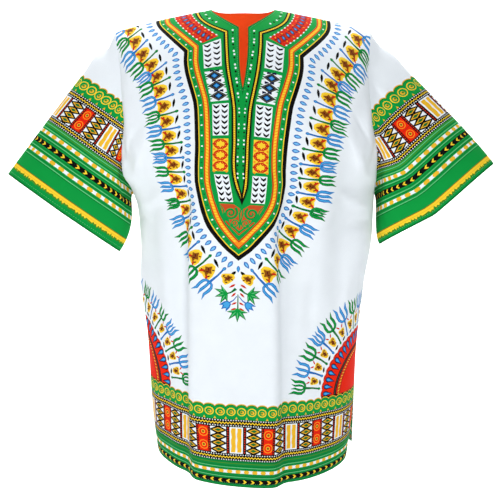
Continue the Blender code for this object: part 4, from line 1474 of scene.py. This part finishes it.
def paint_sleeve(sleeve):
    """The sleeve's print: x goes round from the underarm seam, y counts up from the cuff."""
    sheet = Print(sleeve.round * 500 + 6.0)
    half, up, low = sheet.half, sleeve.turned, sleeve.turned * 0.75
    sheet.strip(-12.0, 184 - up, "green")
    scallops(sheet, 199.0 - up, 176.0 - up, 8.4, sleeve.period / 7.0, sleeve.phase, up=-1)
    lines(sheet, ((1.0, 4.0, "shade"),))
    ragged = [(2.2 * k - half, 15.6 - low + 1.6 * math.sin(2.9 * k) + 0.9 * math.sin(1.3 * k + 1.0))
              for k in range(int(2 * half / 2.2))]
    sheet.fill([(x, y - 2.6) for x, y in ragged] + [(half, 18 - low), (-half, 18 - low)], "olive")
    sheet.fill(ragged + [(half, 24 - low), (-half, 24 - low)], "yellow")
    lines(sheet, ((19.0, 1.0, "amber"), (23.6, 1.1, "brown")), low)
    lines(sheet, [(y, 1.1, ink) for y, ink in SLEEVE_LINES], up)
    dashes(sheet, 55.4 - up, 61.2 - up, 16.0, sleeve.phase)
    arrow_band(sheet, 72.4 - up, 81.0 - up, 13.4, sleeve.phase - 10.0)
    dashes(sheet, 91.4 - up, 97.2 - up, 16.0, sleeve.phase + 5.0)
    woven_border(sheet, [y - up for y in (113.6, 119.4, 165.4, 173.4)], sleeve.period, sleeve.phase)
    return sheet.shapes


# ---- cloth meshes
# Flat distances in mm: between the net's points, and under which points are merged.
NET_STEP = 8.5
MERGE = 1e-4
# How far the front hem runs down to the right, and its print with it.
HEM_SLANT = 0.052


def inside(polygon, x, y):
    """Which places lie inside a polygon, by counting the edges crossed."""
    found = np.zeros(len(x), bool)
    corners = np.array(polygon, float)
    for (x0, y0), (x1, y1) in zip(corners, np.roll(corners, -1, axis=0)):
        if y0 == y1:
            continue
        crossed = (y0 > y) != (y1 > y)
        found ^= crossed & (x < (x1 - x0) * (y - y0) / (y1 - y0) + x0)
    return found


def short_edges(polygon, step):
    """A polygon with points added along its long edges, so that it can follow a curved form."""
    found = []
    for (x0, y0), (x1, y1) in zip(polygon, list(polygon[1:]) + [polygon[0]]):
        count = max(math.ceil(math.hypot(x1 - x0, y1 - y0) / step), 1)
        found.extend((x0 + (x1 - x0) * k / count, y0 + (y1 - y0) * k / count) for k in range(count))
    return found


def cut_cloth(outline, shapes, step=NET_STEP):
    """Splits flat cloth along every printed edge: (points, triangles, ink of each triangle)."""
    points, edges = [], []
    for polygon, _ in [(outline, None)] + shapes:
        polygon = short_edges(polygon, 1.5 * step)
        first, count = len(points), len(polygon)
        points.extend(polygon)
        edges.extend((first + k, first + (k + 1) % count) for k in range(count))
    low, high = np.min(outline, axis=0), np.max(outline, axis=0)
    for i in range(int((high[1] - low[1]) / step) + 1):
        shift = 0.25 if i % 2 else 0.75
        points.extend((low[0] + (k + shift) * step, low[1] + (i + 0.5) * step)
                      for k in range(int((high[0] - low[0]) / step)))
    spots = [Vector(p) for p in points]
    verts, _, tris, _, _, _ = delaunay_2d_cdt(spots, edges, [], 0, MERGE, False)
    flat = np.array([tuple(p) for p in verts])
    kept = np.array(tris)
    a, b, c = flat[kept[:, 0]], flat[kept[:, 1]], flat[kept[:, 2]]
    turn = (b - a)[:, 0] * (c - a)[:, 1] - (b - a)[:, 1] * (c - a)[:, 0]
    kept[turn < 0] = kept[turn < 0][:, ::-1]
    middles = (a + b + c) / 3
    real = (np.abs(turn) > 1e-6) & inside(outline, *middles.T)
    kept, middles = kept[real], middles[real]
    order = np.argsort(middles[:, 1])
    kept, middles = kept[order], middles[order]
    x, y = middles.T
    colours = np.full(len(kept), "ground", dtype="<U12")
    for polygon, ink in shapes:
        low, high = np.min(polygon, axis=0), np.max(polygon, axis=0)
        first, last = np.searchsorted(y, (low[1], high[1]))
        near = first + np.nonzero((x[first:last] >= low[0]) & (x[first:last] <= high[0]))[0]
        if len(near):
            colours[near[inside(polygon, x[near], y[near])]] = ink
    used, kept = np.unique(kept, return_inverse=True)
    return flat[used], kept.reshape(-1, 3), colours


def ink_values(context):
    inks = context.scene.dashiki_inks
    return {name: np.array(getattr(inks, name)[:3]) for name in INKS}


# Where each piece's flat cloth lies on its map, in metres.
MAP_SHIFT = (0.35, 0.05)
# The wrong side of printed cotton: the print shows through a little paler.
REVERSE_SHARE = 0.94
REVERSE_LIFT = 0.02


def linked(name, mesh):
    piece = bpy.data.objects.new(name, mesh)
    bpy.context.scene.collection.objects.link(piece)
    return piece


def cloth_mesh(name, flat, tris, colours, find, outward, thickness, inks, painted_light_facing_area=None):
    """A thin shell on the worn form, printed through, with a red facing inside if one is given; the
    facing's red is painted lighter than the print's red, as painted light in the neck's shaded
    hollow.
    """
    places, ways = find(flat)
    count = len(flat)
    if outward < 0:
        tris = tris[:, ::-1]
    half = ways * thickness / 2
    verts = np.concatenate([places + half, places - half])
    edges = np.concatenate([tris[:, [0, 1]], tris[:, [1, 2]], tris[:, [2, 0]]])
    keys = np.sort(edges, axis=1)
    keys = keys[:, 0].astype(np.int64) * count + keys[:, 1]
    _, first, number = np.unique(keys, return_index=True, return_counts=True)
    rim = first[number == 1]
    start, end = edges[rim].T
    faces = np.concatenate([
        tris, tris[:, ::-1] + count, np.stack([end, start, start + count], axis=1),
        np.stack([end, start + count, end + count], axis=1),
    ])
    mesh = bpy.data.meshes.new(name)
    mesh.vertices.add(len(verts))
    mesh.vertices.foreach_set("co", verts.astype(np.float32).ravel())
    mesh.loops.add(len(faces) * 3)
    mesh.loops.foreach_set("vertex_index", faces.astype(np.int32).ravel())
    mesh.polygons.add(len(faces))
    mesh.polygons.foreach_set("loop_start", np.arange(0, len(faces) * 3, 3, dtype=np.int32))
    mesh.update(calc_edges=True)
    uv = mesh.uv_layers.new(name="cloth")
    on_map = np.concatenate([flat, flat]) * MM + np.array(MAP_SHIFT)
    uv.data.foreach_set("uv", on_map[faces.ravel()].astype(np.float32).ravel())
    table = np.array([inks[ink] for ink in colours])
    reverse = table * REVERSE_SHARE + REVERSE_LIFT
    # The facing inside the neck gets a red painted lighter than the print's red: painted light in
    # its shaded hollow.
    if painted_light_facing_area:
        reverse[inside(painted_light_facing_area, *flat[tris].mean(axis=1).T)] = inks["facing_red_painted_light"]
    # Each rim face takes the ink of the triangle that its edge belongs to.
    rim_inks = table[rim % len(tris)]
    corner = np.ones((len(faces), 3, 4))
    corner[:, :, :3] = np.concatenate([table, reverse, rim_inks, rim_inks])[:, None, :]
    colour = mesh.color_attributes.new(name="ink", type="BYTE_COLOR", domain="CORNER")
    colour.data.foreach_set("color", corner.astype(np.float32).ravel())
    mesh.polygons.foreach_set("use_smooth", np.ones(len(faces), dtype=bool))
    mesh.update()
    mesh.normals_split_custom_set_from_vertices(np.concatenate([ways, -ways]).tolist())
    return linked(name, mesh)


def hem_slant(facing):
    return HEM_SLANT if facing < 0 else 0.0


# Points along each part of a panel's edge.
ARMHOLE_POINTS = 52
SIDE_POINTS = 80
HEM_POINTS = 48
SHOULDER_POINTS = 30


def panel_outline(facing):
    """The flat panel's edge in mm: down the right, along the hem, up the left, over the neck."""
    slant, edge = hem_slant(facing), 1000 * PANEL_HALF_WIDTH
    low, underarm = 1000 * LENGTH, 1000 * ARMHOLE_END
    half = []
    v = SHOULDER_DROP
    while v < ARMHOLE_END - 1e-6:
        half.append((flat_half_width(v) * 1000, v * 1000))
        v += (ARMHOLE_END - SHOULDER_DROP) / ARMHOLE_POINTS
    half += [(edge, underarm + k * (low - underarm + slant * edge) / SIDE_POINTS)
             for k in range(SIDE_POINTS + 1)]
    shares = [1 - k / HEM_POINTS for k in range(1, HEM_POINTS + 1)]
    half += [(edge * share, low + slant * edge * share) for share in shares]
    left = [(-x, y - 2.0 * slant * x * between_0_1((y - underarm) / (low - underarm)))
            for x, y in half[:-1][::-1]]
    tops = [SHOULDER_HALF_WIDTH + (NECK_HALF_WIDTH - SHOULDER_HALF_WIDTH) * k / SHOULDER_POINTS
            for k in range(1, SHOULDER_POINTS + 1)]
    over = [(u * 1000, seam_top(u) * 1000) for u in tops]
    if facing < 0:
        neck = [NECK_HALF_WIDTH + (SLIT_HALF_WIDTH - NECK_HALF_WIDTH) * (k / 15) ** 1.3
                for k in range(1, 15)]
        over += [(u * 1000, neck_edge(u, -1) * 1000) for u in neck]
        downs = [FRONT_NECK_DEPTH + (SLIT_END - FRONT_NECK_DEPTH) * k / 24 for k in range(24)]
        over += [(slit_half_width(v) * 1000, v * 1000) for v in downs] + [(0.0, SLIT_END * 1000)]
    else:
        neck = [NECK_HALF_WIDTH * math.cos(0.5 * math.pi * k / 14) for k in range(1, 14)]
        over += [(u * 1000, neck_edge(u, 1) * 1000) for u in neck] + [(0.0, 1000 * BACK_NECK_DEPTH)]
    return half + left + [(-x, y) for x, y in over[:-1]] + over[::-1]


SLEEVE_EDGE_POINTS = 89


def sleeve_outline(sleeve, top_at):
    half = sleeve.round * 500
    xs = np.linspace(-half, half, SLEEVE_EDGE_POINTS)
    return [(x, 0.0) for x in xs] + list(zip(xs[::-1], top_at(xs)[::-1]))


# A stitch is a bead with its ends at 0 and 4 and four sides between them.
STITCH_FACES = (
    (0, 2, 1), (0, 3, 2), (4, 1, 2), (4, 2, 3), (0, 1, 5), (0, 5, 3), (4, 5, 1), (4, 3, 5),
)


def stitch_mesh(name, runs, stitch, lift, thread):
    """Rows of short raised stitches joined in one mesh. runs: (find, flat line in mm)."""
    verts, faces = [], []
    step, long = (stitch.length + stitch.gap) * 1000, stitch.length * 1000
    for find, line in runs:
        ends = []
        for x, y, a in places_along(np.array(line, float), step):
            dx, dy = math.cos(a) * long / 2, math.sin(a) * long / 2
            ends += [(x - dx, y - dy), (x, y), (x + dx, y + dy)]
        places, ways = find(np.array(ends))
        for k in range(0, len(places), 3):
            (start, middle, end), out = places[k:k + 3], ways[k + 1]
            along = (end - start) / max(np.linalg.norm(end - start), 1e-9)
            across = np.cross(out, along) * stitch.width / 2
            base, low = middle + out * lift, out * lift * 0.6
            faces += [tuple(len(verts) + i for i in face) for face in STITCH_FACES]
            verts += [start + low, base + across, base + out * stitch.width * 0.8, base - across,
                      end + low, base - out * stitch.width * 0.3]
    mesh = bpy.data.meshes.new(name)
    mesh.from_pydata([tuple(v) for v in verts], [], faces)
    mesh.update()
    piece = linked(name, mesh)
    bpy.ops.object.select_all(action="DESELECT")
    bpy.context.view_layer.objects.active = piece
    piece.select_set(True)
    bpy.ops.object.mode_set(mode="EDIT")
    bpy.ops.mesh.select_all(action="SELECT")
    bpy.ops.mesh.normals_make_consistent(inside=False)
    bpy.ops.object.mode_set(mode="OBJECT")
    piece.data.materials.append(thread)
    return piece


def new_material(name, **values):
    """A material with its shader's plain values set: (material, shader)."""
    material = bpy.data.materials.new(name)
    material.use_nodes = True
    shader = material.node_tree.nodes["Principled BSDF"]
    for key, value in values.items():
        shader.inputs[key.replace("_", " ")].default_value = value
    return material, shader


def new_node(material, kind, inputs=None, **values):
    node = material.node_tree.nodes.new(kind)
    for key, value in values.items():
        setattr(node, key, value)
    for key, value in (inputs or {}).items():
        node.inputs[key].default_value = value
    return node


def sewing_thread(name, colour):
    """Twisted cotton thread, its twist painted as darker bands: painted shade in the grooves
    between the plies.
    """
    material, shader = new_material(name, Roughness=0.7, Specular_IOR_Level=0.2)
    links = material.node_tree.links
    place = new_node(material, "ShaderNodeTexCoord")
    twist_groove_shade = new_node(material, "ShaderNodeTexWave", {"Scale": 900.0, "Distortion": 1.5})
    links.new(place.outputs["Object"], twist_groove_shade.inputs["Vector"])
    # The darker bands are painted shade in the grooves of the twist.
    dark, light = (*[0.72 * c for c in colour], 1.0), (*colour, 1.0)
    tint = new_node(material, "ShaderNodeMix", data_type="RGBA")
    tint.inputs["A"].default_value, tint.inputs["B"].default_value = dark, light
    links.new(twist_groove_shade.outputs["Fac"], tint.inputs["Factor"])
    links.new(tint.outputs["Result"], shader.inputs["Base Color"])
    return material


# Uneven dyeing: scale and detail of its broad and fine noise, its strength, its least value.
DYE_NOISE = ((26.0, 4.0), (1400.0, 1.0))
DYE_RANGE = 0.10
DYE_LEAST = 0.95
BUMP_DEPTH = 0.0002


def printed_cotton(name, cloth):
    """Plain-woven cotton: its ink from the piece's attribute, thread bump from its flat map."""
    material, shader = new_material(name, Roughness=0.86, Specular_IOR_Level=0.12,
                                    Sheen_Weight=cloth.sheen, Sheen_Roughness=0.5)
    links = material.node_tree.links

    def maths(operation, *values):
        node = new_node(material, "ShaderNodeMath", operation=operation)
        for socket, value in zip(node.inputs, values):
            if isinstance(value, (int, float)):
                socket.default_value = value
            else:
                links.new(value, socket)
        return node.outputs[0]

    place = new_node(material, "ShaderNodeTexCoord")
    shades = []
    for scale, detail in DYE_NOISE:
        noise = new_node(material, "ShaderNodeTexNoise", {"Scale": scale, "Detail": detail})
        links.new(place.outputs["Object"], noise.inputs["Vector"])
        shades.append(maths("MULTIPLY_ADD", noise.outputs["Fac"], DYE_RANGE, DYE_LEAST))
    ink = new_node(material, "ShaderNodeAttribute", attribute_name="ink")
    tint = new_node(material, "ShaderNodeMix", {"Factor": 1.0}, data_type="RGBA",
                    blend_type="MULTIPLY")
    links.new(ink.outputs["Color"], tint.inputs["A"])
    links.new(maths("MULTIPLY", *shades), tint.inputs["B"])
    links.new(tint.outputs["Result"], shader.inputs["Base Color"])
    flat = new_node(material, "ShaderNodeUVMap", uv_map="cloth")
    threads = new_node(material, "ShaderNodeSeparateXYZ")
    links.new(flat.outputs["UV"], threads.inputs[0])
    pitch = TAU / cloth.thread_pitch
    warp, weft = (maths("SINE", maths("MULTIPLY", threads.outputs[axis], pitch)) for axis in "XY")
    relief = {"Strength": cloth.weave_depth, "Distance": BUMP_DEPTH}
    bump = new_node(material, "ShaderNodeBump", relief)
    links.new(maths("MULTIPLY", warp, weft), bump.inputs["Height"])
    links.new(bump.outputs["Normal"], shader.inputs["Normal"])
    return material


class DashikiCloth(bpy.types.PropertyGroup):
    """Sizes and finish of the cotton"""
    thickness: bpy.props.FloatProperty(
        name="Thickness", description="Thickness of the cotton", default=0.0008, min=0.0002,
        max=0.0014, precision=4, unit="LENGTH", subtype="DISTANCE")
    thread_pitch: bpy.props.FloatProperty(
        name="Thread Pitch", description="Distance over which the weave repeats", default=0.0009,
        min=0.0003, max=0.004, precision=4, unit="LENGTH", subtype="DISTANCE")
    weave_depth: bpy.props.FloatProperty(
        name="Weave Depth", description="Strength of the thread relief", default=0.22, min=0.0,
        max=1.0, subtype="FACTOR")
    sheen: bpy.props.FloatProperty(
        name="Sheen", description="Soft light that the nap catches at grazing angles", default=0.01,
        min=0.0, max=1.0, subtype="FACTOR")
    fold_strength: bpy.props.FloatProperty(
        name="Crease Strength", description="Height of the fine creases", default=1.5, min=0.0,
        max=2.0, subtype="FACTOR")


class DashikiStitch(bpy.types.PropertyGroup):
    """Sizes of the topstitching"""
    length: bpy.props.FloatProperty(
        name="Stitch Length", description="Length of one stitch", default=0.0026, min=0.001,
        max=0.006, precision=4, unit="LENGTH", subtype="DISTANCE")
    gap: bpy.props.FloatProperty(
        name="Stitch Gap", description="Distance between two stitches", default=0.0008, min=0.0002,
        max=0.003, precision=4, unit="LENGTH", subtype="DISTANCE")
    width: bpy.props.FloatProperty(
        name="Thread Width", description="Thickness of the thread", default=0.0009, min=0.0002,
        max=0.001, precision=4, unit="LENGTH", subtype="DISTANCE")
    hem: bpy.props.FloatProperty(
        name="Hem Depth", description="How far the stitches lie from the hem and cuffs",
        default=0.0065, min=0.003, max=0.03, unit="LENGTH", subtype="DISTANCE")


class DashikiStage(bpy.types.PropertyGroup):
    """Floor and light"""
    floor: bpy.props.FloatVectorProperty(
        name="Floor Colour", description="Colour of the floor and backdrop",
        default=(0.97, 0.975, 0.98), size=3, min=0.0, max=1.0, subtype="COLOR")
    drop: bpy.props.FloatProperty(
        name="Floor Drop", description="Height of the floor below the shoulders", default=-1.05,
        unit="LENGTH", subtype="DISTANCE")
    key: bpy.props.FloatProperty(
        name="Key Light", description="Power of the large front light", default=27.4, min=0.0,
        unit="POWER", subtype="POWER")
    sky: bpy.props.FloatProperty(
        name="Room Light", description="Strength of the even light all round", default=0.22,
        min=0.0)


def srgb_to_linear(code):
    values = [int(code[i:i + 2], 16) / 255.0 for i in (0, 2, 4)]
    return tuple(v / 12.92 if v <= 0.04045 else ((v + 0.055) / 1.055) ** 2.4 for v in values)


class DashikiInks(bpy.types.PropertyGroup):
    """Inks of the print"""
    __annotations__ = {
        name: bpy.props.FloatVectorProperty(
            name=name.replace("_", " ").title(), description=words + " of the print",
            default=srgb_to_linear(code), size=3, min=0.0, max=1.0, subtype="COLOR")
        for name, (code, words) in INKS.items()
    }


# The worn form of each piece made so far, for the stitching to follow.
FINDERS = {}
# The flat line of the red facing inside the back, mm. Its red is painted lighter than the print's
# red: painted light in the shaded hollow of the neck.
BACK_FACING = [(-72, -10), (72, -10), (66, 120), (44, 240), (0, 310), (-44, 240), (-66, 120)]


def make_cloth(context, names, find, outward, outline, shapes, material,
               painted_light_facing_area=None):
    """Cuts, prints and places one piece. names: the piece, its form, its node, and its slot, which
    is not used.
    """
    name, form, node, slot = names
    FINDERS[form] = find
    flat, tris, colours = cut_cloth(outline, shapes)
    piece = cloth_mesh(name, flat, tris, colours, find, outward,
                       context.scene.dashiki_cloth.thickness, ink_values(context), painted_light_facing_area)
    piece.data.materials.append(material)
    x, y = np.array(outline).T * MM
    area = float(abs((x * np.roll(y, -1) - np.roll(x, -1) * y).sum()) / 2)
    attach(piece, "root")
    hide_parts(node)


def scaled(rows, strength):
    return [crease._replace(out=crease.out * strength) for crease in rows]


def make_panel(context, name, facing, rows, painted_light_facing_area=None):
    cloth = context.scene.dashiki_cloth
    names = (name + "_cloth", name, name + "_panel", "printed_cotton_" + name)
    make_cloth(context, names, panel_form(facing, scaled(rows, cloth.fold_strength)), facing,
               panel_outline(facing), paint_body(facing), printed_cotton(name + "_cotton", cloth),
               painted_light_facing_area)


class DASHIKI_OT_front(bpy.types.Operator):
    """Make the printed front with its neck slit"""
    bl_idname = "dashiki.front"
    bl_label = "Front"

    def execute(self, context):
        make_panel(context, "front", -1, FRONT_CREASES)
        return {"FINISHED"}


class DASHIKI_OT_back(bpy.types.Operator):
    """Make the printed back"""
    bl_idname = "dashiki.back"
    bl_label = "Back"

    def execute(self, context):
        make_panel(context, "back", 1, BACK_CREASES, BACK_FACING)
        return {"FINISHED"}


class DASHIKI_OT_sleeves(bpy.types.Operator):
    """Make both sleeves"""
    bl_idname = "dashiki.sleeves"
    bl_label = "Sleeves"

    def execute(self, context):
        cloth = context.scene.dashiki_cloth
        material = printed_cotton("sleeve_cotton", cloth)
        for sleeve in SLEEVES:
            form = "sleeve_" + sleeve.name
            names = ("sleeve_cloth_" + sleeve.name, form, form, "printed_cotton_sleeves")
            rows = scaled(SLEEVE_CREASES, cloth.fold_strength)
            find, top_at, outward = sleeve_form(sleeve, rows)
            make_cloth(context, names, find, outward, sleeve_outline(sleeve, top_at),
                       paint_sleeve(sleeve), material)
        return {"FINISHED"}


# The net of the cloth cuts straight across each curve, so the rows stand this far off its form.
STITCH_CLEAR = 0.0004


def body_runs(depth):
    """Stitch rows of the hem and the vents."""
    runs = []
    half, low = 1000 * PANEL_HALF_WIDTH, LENGTH * 1000 - depth
    for name, facing in (("front", -1), ("back", 1)):
        slant, find = hem_slant(facing), FINDERS[name]
        hem = np.linspace(3.0 - half, half - 3.0, 60)
        runs.append((find, [(x, low + slant * x) for x in hem]))
        for edge in (8.0 - half, half - 8.0):
            vent = np.linspace(1000 * VENT_START, low + slant * edge, 14)
            runs.append((find, [(edge, y) for y in vent]))
    return runs


def neck_runs():
    """Stitch rows beside the slit and round the neck, and a bar below the slit."""
    front, back, end = FINDERS["front"], FINDERS["back"], 1000 * SLIT_END
    line = [(1000 * u + 2.6, 1000 * neck_edge(u, -1) + 3.0)
            for u in np.linspace(0.054, SLIT_HALF_WIDTH + 0.001, 12)]
    line += [(1000 * slit_half_width(v) + 3.2, 1000 * v)
             for v in np.linspace(FRONT_NECK_DEPTH + 0.006, SLIT_END - 0.002, 18)]
    return [
        (front, [(-x, y) for x, y in line]), (front, line),
        (back, [(x, 1000 * neck_edge(x * MM, 1) + 4.0) for x in np.linspace(-50, 50, 30)]),
        (front, [(-5, end + 3), (0, end + 4), (5, end + 3)]),
    ]


def cuff_runs(depth):
    runs = []
    for sleeve in SLEEVES:
        half = sleeve.round * 500 - 1.0
        line = [(x, depth) for x in np.linspace(-half, half, 80)]
        runs.append((FINDERS["sleeve_" + sleeve.name], line))
    return runs


class DASHIKI_OT_stitching(bpy.types.Operator):
    """Sew the hem, the cuffs, the vents and the neck"""
    bl_idname = "dashiki.stitching"
    bl_label = "Stitching"

    def execute(self, context):
        stitch, cloth = context.scene.dashiki_stitch, context.scene.dashiki_cloth
        if "front" not in FINDERS or "sleeve_left" not in FINDERS:
            raise RuntimeError("make the front, the back and the sleeves before the stitching")
        depth, lift = stitch.hem * 1000, cloth.thickness / 2 + STITCH_CLEAR
        thread = sewing_thread("green_thread", ink_values(context)["pale"])
        for name, runs, slot in (("body_stitching", body_runs(depth), "printed_cotton_front"),
                                 ("neck_stitching", neck_runs(), "printed_cotton_front"),
                                 ("cuff_stitching", cuff_runs(depth), "printed_cotton_sleeves")):
            piece = stitch_mesh(name, runs, stitch, lift, thread)
            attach(piece, "root")
        return {"FINISHED"}


# The floor: how far it reaches to the front and back, its width, the backdrop's height and the
# radius of the bend between them.
SWEEP_BACK = 4.6
SWEEP_WIDTH = 14.0
SWEEP_HEIGHT = 4.5
SWEEP_BEND = 1.4
# The camera: its place, its tilt below level in degrees, its film width and lens in mm.
CAMERA_PLACE = (0.0116, -1.65, -0.10)
CAMERA_TILT = 10.46
CAMERA_FILM = 36.0
CAMERA_LENS = 69.7
# power: share of the key light's power.
Light = namedtuple("Light", "name place aim size power")
LIGHTS = (
    Light("key_light", (-1.95, -2.2, 1.2), (0.0, 0.0, -0.35), 1.0, 1.0),
    Light("fill_light", (0.5, -2.65, -0.12), (0.0, 0.0, -0.12), 0.7, 0.86),
    Light("neck_light", (0.0, -0.045, -0.22), (0.0, 0.06, -0.05), 0.12, 0.0088),
    Light("top_light", (0.0, -0.4, 2.2), (0.0, 0.3, 0.0), 2.0, 0.42),
    Light("backdrop_light", (0.0, 1.9, 2.6), (0.0, 4.6, -0.9), 3.2, 12.0),
)


def select_edges(mesh, wanted):
    """Selects the edges whose ends both satisfy a test, and goes into edit mode."""
    for edge in mesh.edges:
        edge.select = all(wanted(mesh.vertices[i].co) for i in edge.vertices)
    bpy.ops.object.mode_set(mode="EDIT")


class DASHIKI_OT_stage(bpy.types.Operator):
    """Set the floor, the lights and the camera"""
    bl_idname = "dashiki.stage"
    bl_label = "Floor and Lights"

    def execute(self, context):
        stage = context.scene.dashiki_stage
        self.add_floor(context, stage)
        self.add_lights(context, stage)
        self.add_camera(context)
        return {"FINISHED"}

    def add_floor(self, context, stage):
        bpy.ops.object.select_all(action="DESELECT")
        bpy.ops.mesh.primitive_plane_add(size=1.0, location=(0.0, 0.0, 0.0))
        floor = context.object
        floor.name = "floor_sweep"
        mesh = floor.data
        for vert in mesh.vertices:
            back = SWEEP_BACK if vert.co.y > 0 else -SWEEP_BACK
            vert.co = (vert.co.x * SWEEP_WIDTH, back, stage.drop)
        bpy.ops.object.mode_set(mode="EDIT")
        bpy.ops.mesh.select_mode(type="EDGE")
        bpy.ops.mesh.select_all(action="DESELECT")
        bpy.ops.object.mode_set(mode="OBJECT")
        select_edges(mesh, lambda co: co.y > 0)
        bpy.ops.mesh.extrude_region_move(
            TRANSFORM_OT_translate={"value": (0.0, 0.0, SWEEP_HEIGHT)})
        bpy.ops.object.mode_set(mode="OBJECT")
        select_edges(mesh, lambda co: abs(co.y - SWEEP_BACK) < 1e-4
                     and abs(co.z - stage.drop) < 1e-4)
        bpy.ops.mesh.bevel(offset=SWEEP_BEND, segments=16, affect="EDGES")
        bpy.ops.mesh.select_all(action="SELECT")
        bpy.ops.mesh.normals_make_consistent(inside=False)
        bpy.ops.object.mode_set(mode="OBJECT")
        bpy.ops.object.shade_smooth()
        paint, _ = new_material("floor_paint", Base_Color=(*stage.floor, 1.0), Roughness=0.9,
                                Specular_IOR_Level=0.1)
        floor.data.materials.append(paint)

    def add_lights(self, context, stage):
        world = bpy.data.worlds.new("soft_room")
        world.use_nodes = True
        air = world.node_tree.nodes["Background"].inputs
        air["Color"].default_value = (0.94, 0.97, 1.0, 1.0)
        air["Strength"].default_value = stage.sky
        context.scene.world = world
        for row in LIGHTS:
            bpy.ops.object.light_add(type="AREA", location=row.place)
            light = context.object
            light.name = row.name
            light.data.size = row.size
            light.data.energy = row.power * stage.key
            way = Vector(row.aim) - Vector(row.place)
            light.rotation_euler = way.to_track_quat("-Z", "Y").to_euler()

    def add_camera(self, context):
        bpy.ops.object.camera_add(location=CAMERA_PLACE)
        camera = context.object
        camera.name = "camera"
        camera.rotation_euler = (math.radians(90.0 - CAMERA_TILT), 0.0, 0.0)
        camera.data.sensor_width = CAMERA_FILM
        camera.data.lens = CAMERA_LENS
        camera.data.clip_end = 50.0
        context.scene.camera = camera
        context.scene.view_settings.view_transform = "Standard"


class DASHIKI_PT_panel(bpy.types.Panel):
    """Sizes, inks and pieces of the shirt"""
    bl_idname = "DASHIKI_PT_panel"
    bl_label = "Dashiki Shirt"
    bl_space_type = "VIEW_3D"
    bl_region_type = "UI"
    bl_category = "Dashiki"

    def draw(self, context):
        layout = self.layout
        for words, group in (
            ("Cotton", context.scene.dashiki_cloth), ("Stitching", context.scene.dashiki_stitch),
            ("Inks", context.scene.dashiki_inks), ("Stage", context.scene.dashiki_stage),
        ):
            layout.label(text=words)
            for name in type(group).__annotations__:
                layout.prop(group, name)
        for operator in OPERATORS:
            layout.operator(operator.bl_idname)


GROUPS = {
    "dashiki_cloth": DashikiCloth, "dashiki_stitch": DashikiStitch,
    "dashiki_inks": DashikiInks, "dashiki_stage": DashikiStage,
}
OPERATORS = (
    DASHIKI_OT_front, DASHIKI_OT_back, DASHIKI_OT_sleeves, DASHIKI_OT_stitching, DASHIKI_OT_stage,
)
CLASSES = (*GROUPS.values(), *OPERATORS, DASHIKI_PT_panel)


def register():
    for kind in CLASSES:
        bpy.utils.register_class(kind)
    for name, group in GROUPS.items():
        setattr(bpy.types.Scene, name, bpy.props.PointerProperty(type=group))


def unregister():
    for name in GROUPS:
        delattr(bpy.types.Scene, name)
    for kind in reversed(CLASSES):
        bpy.utils.unregister_class(kind)


def main():
    register()
    bpy.ops.dashiki.front()
    bpy.ops.dashiki.back()
    bpy.ops.dashiki.sleeves()
    bpy.ops.dashiki.stitching()
    bpy.ops.dashiki.stage()


if __name__ == "__main__":
    main()
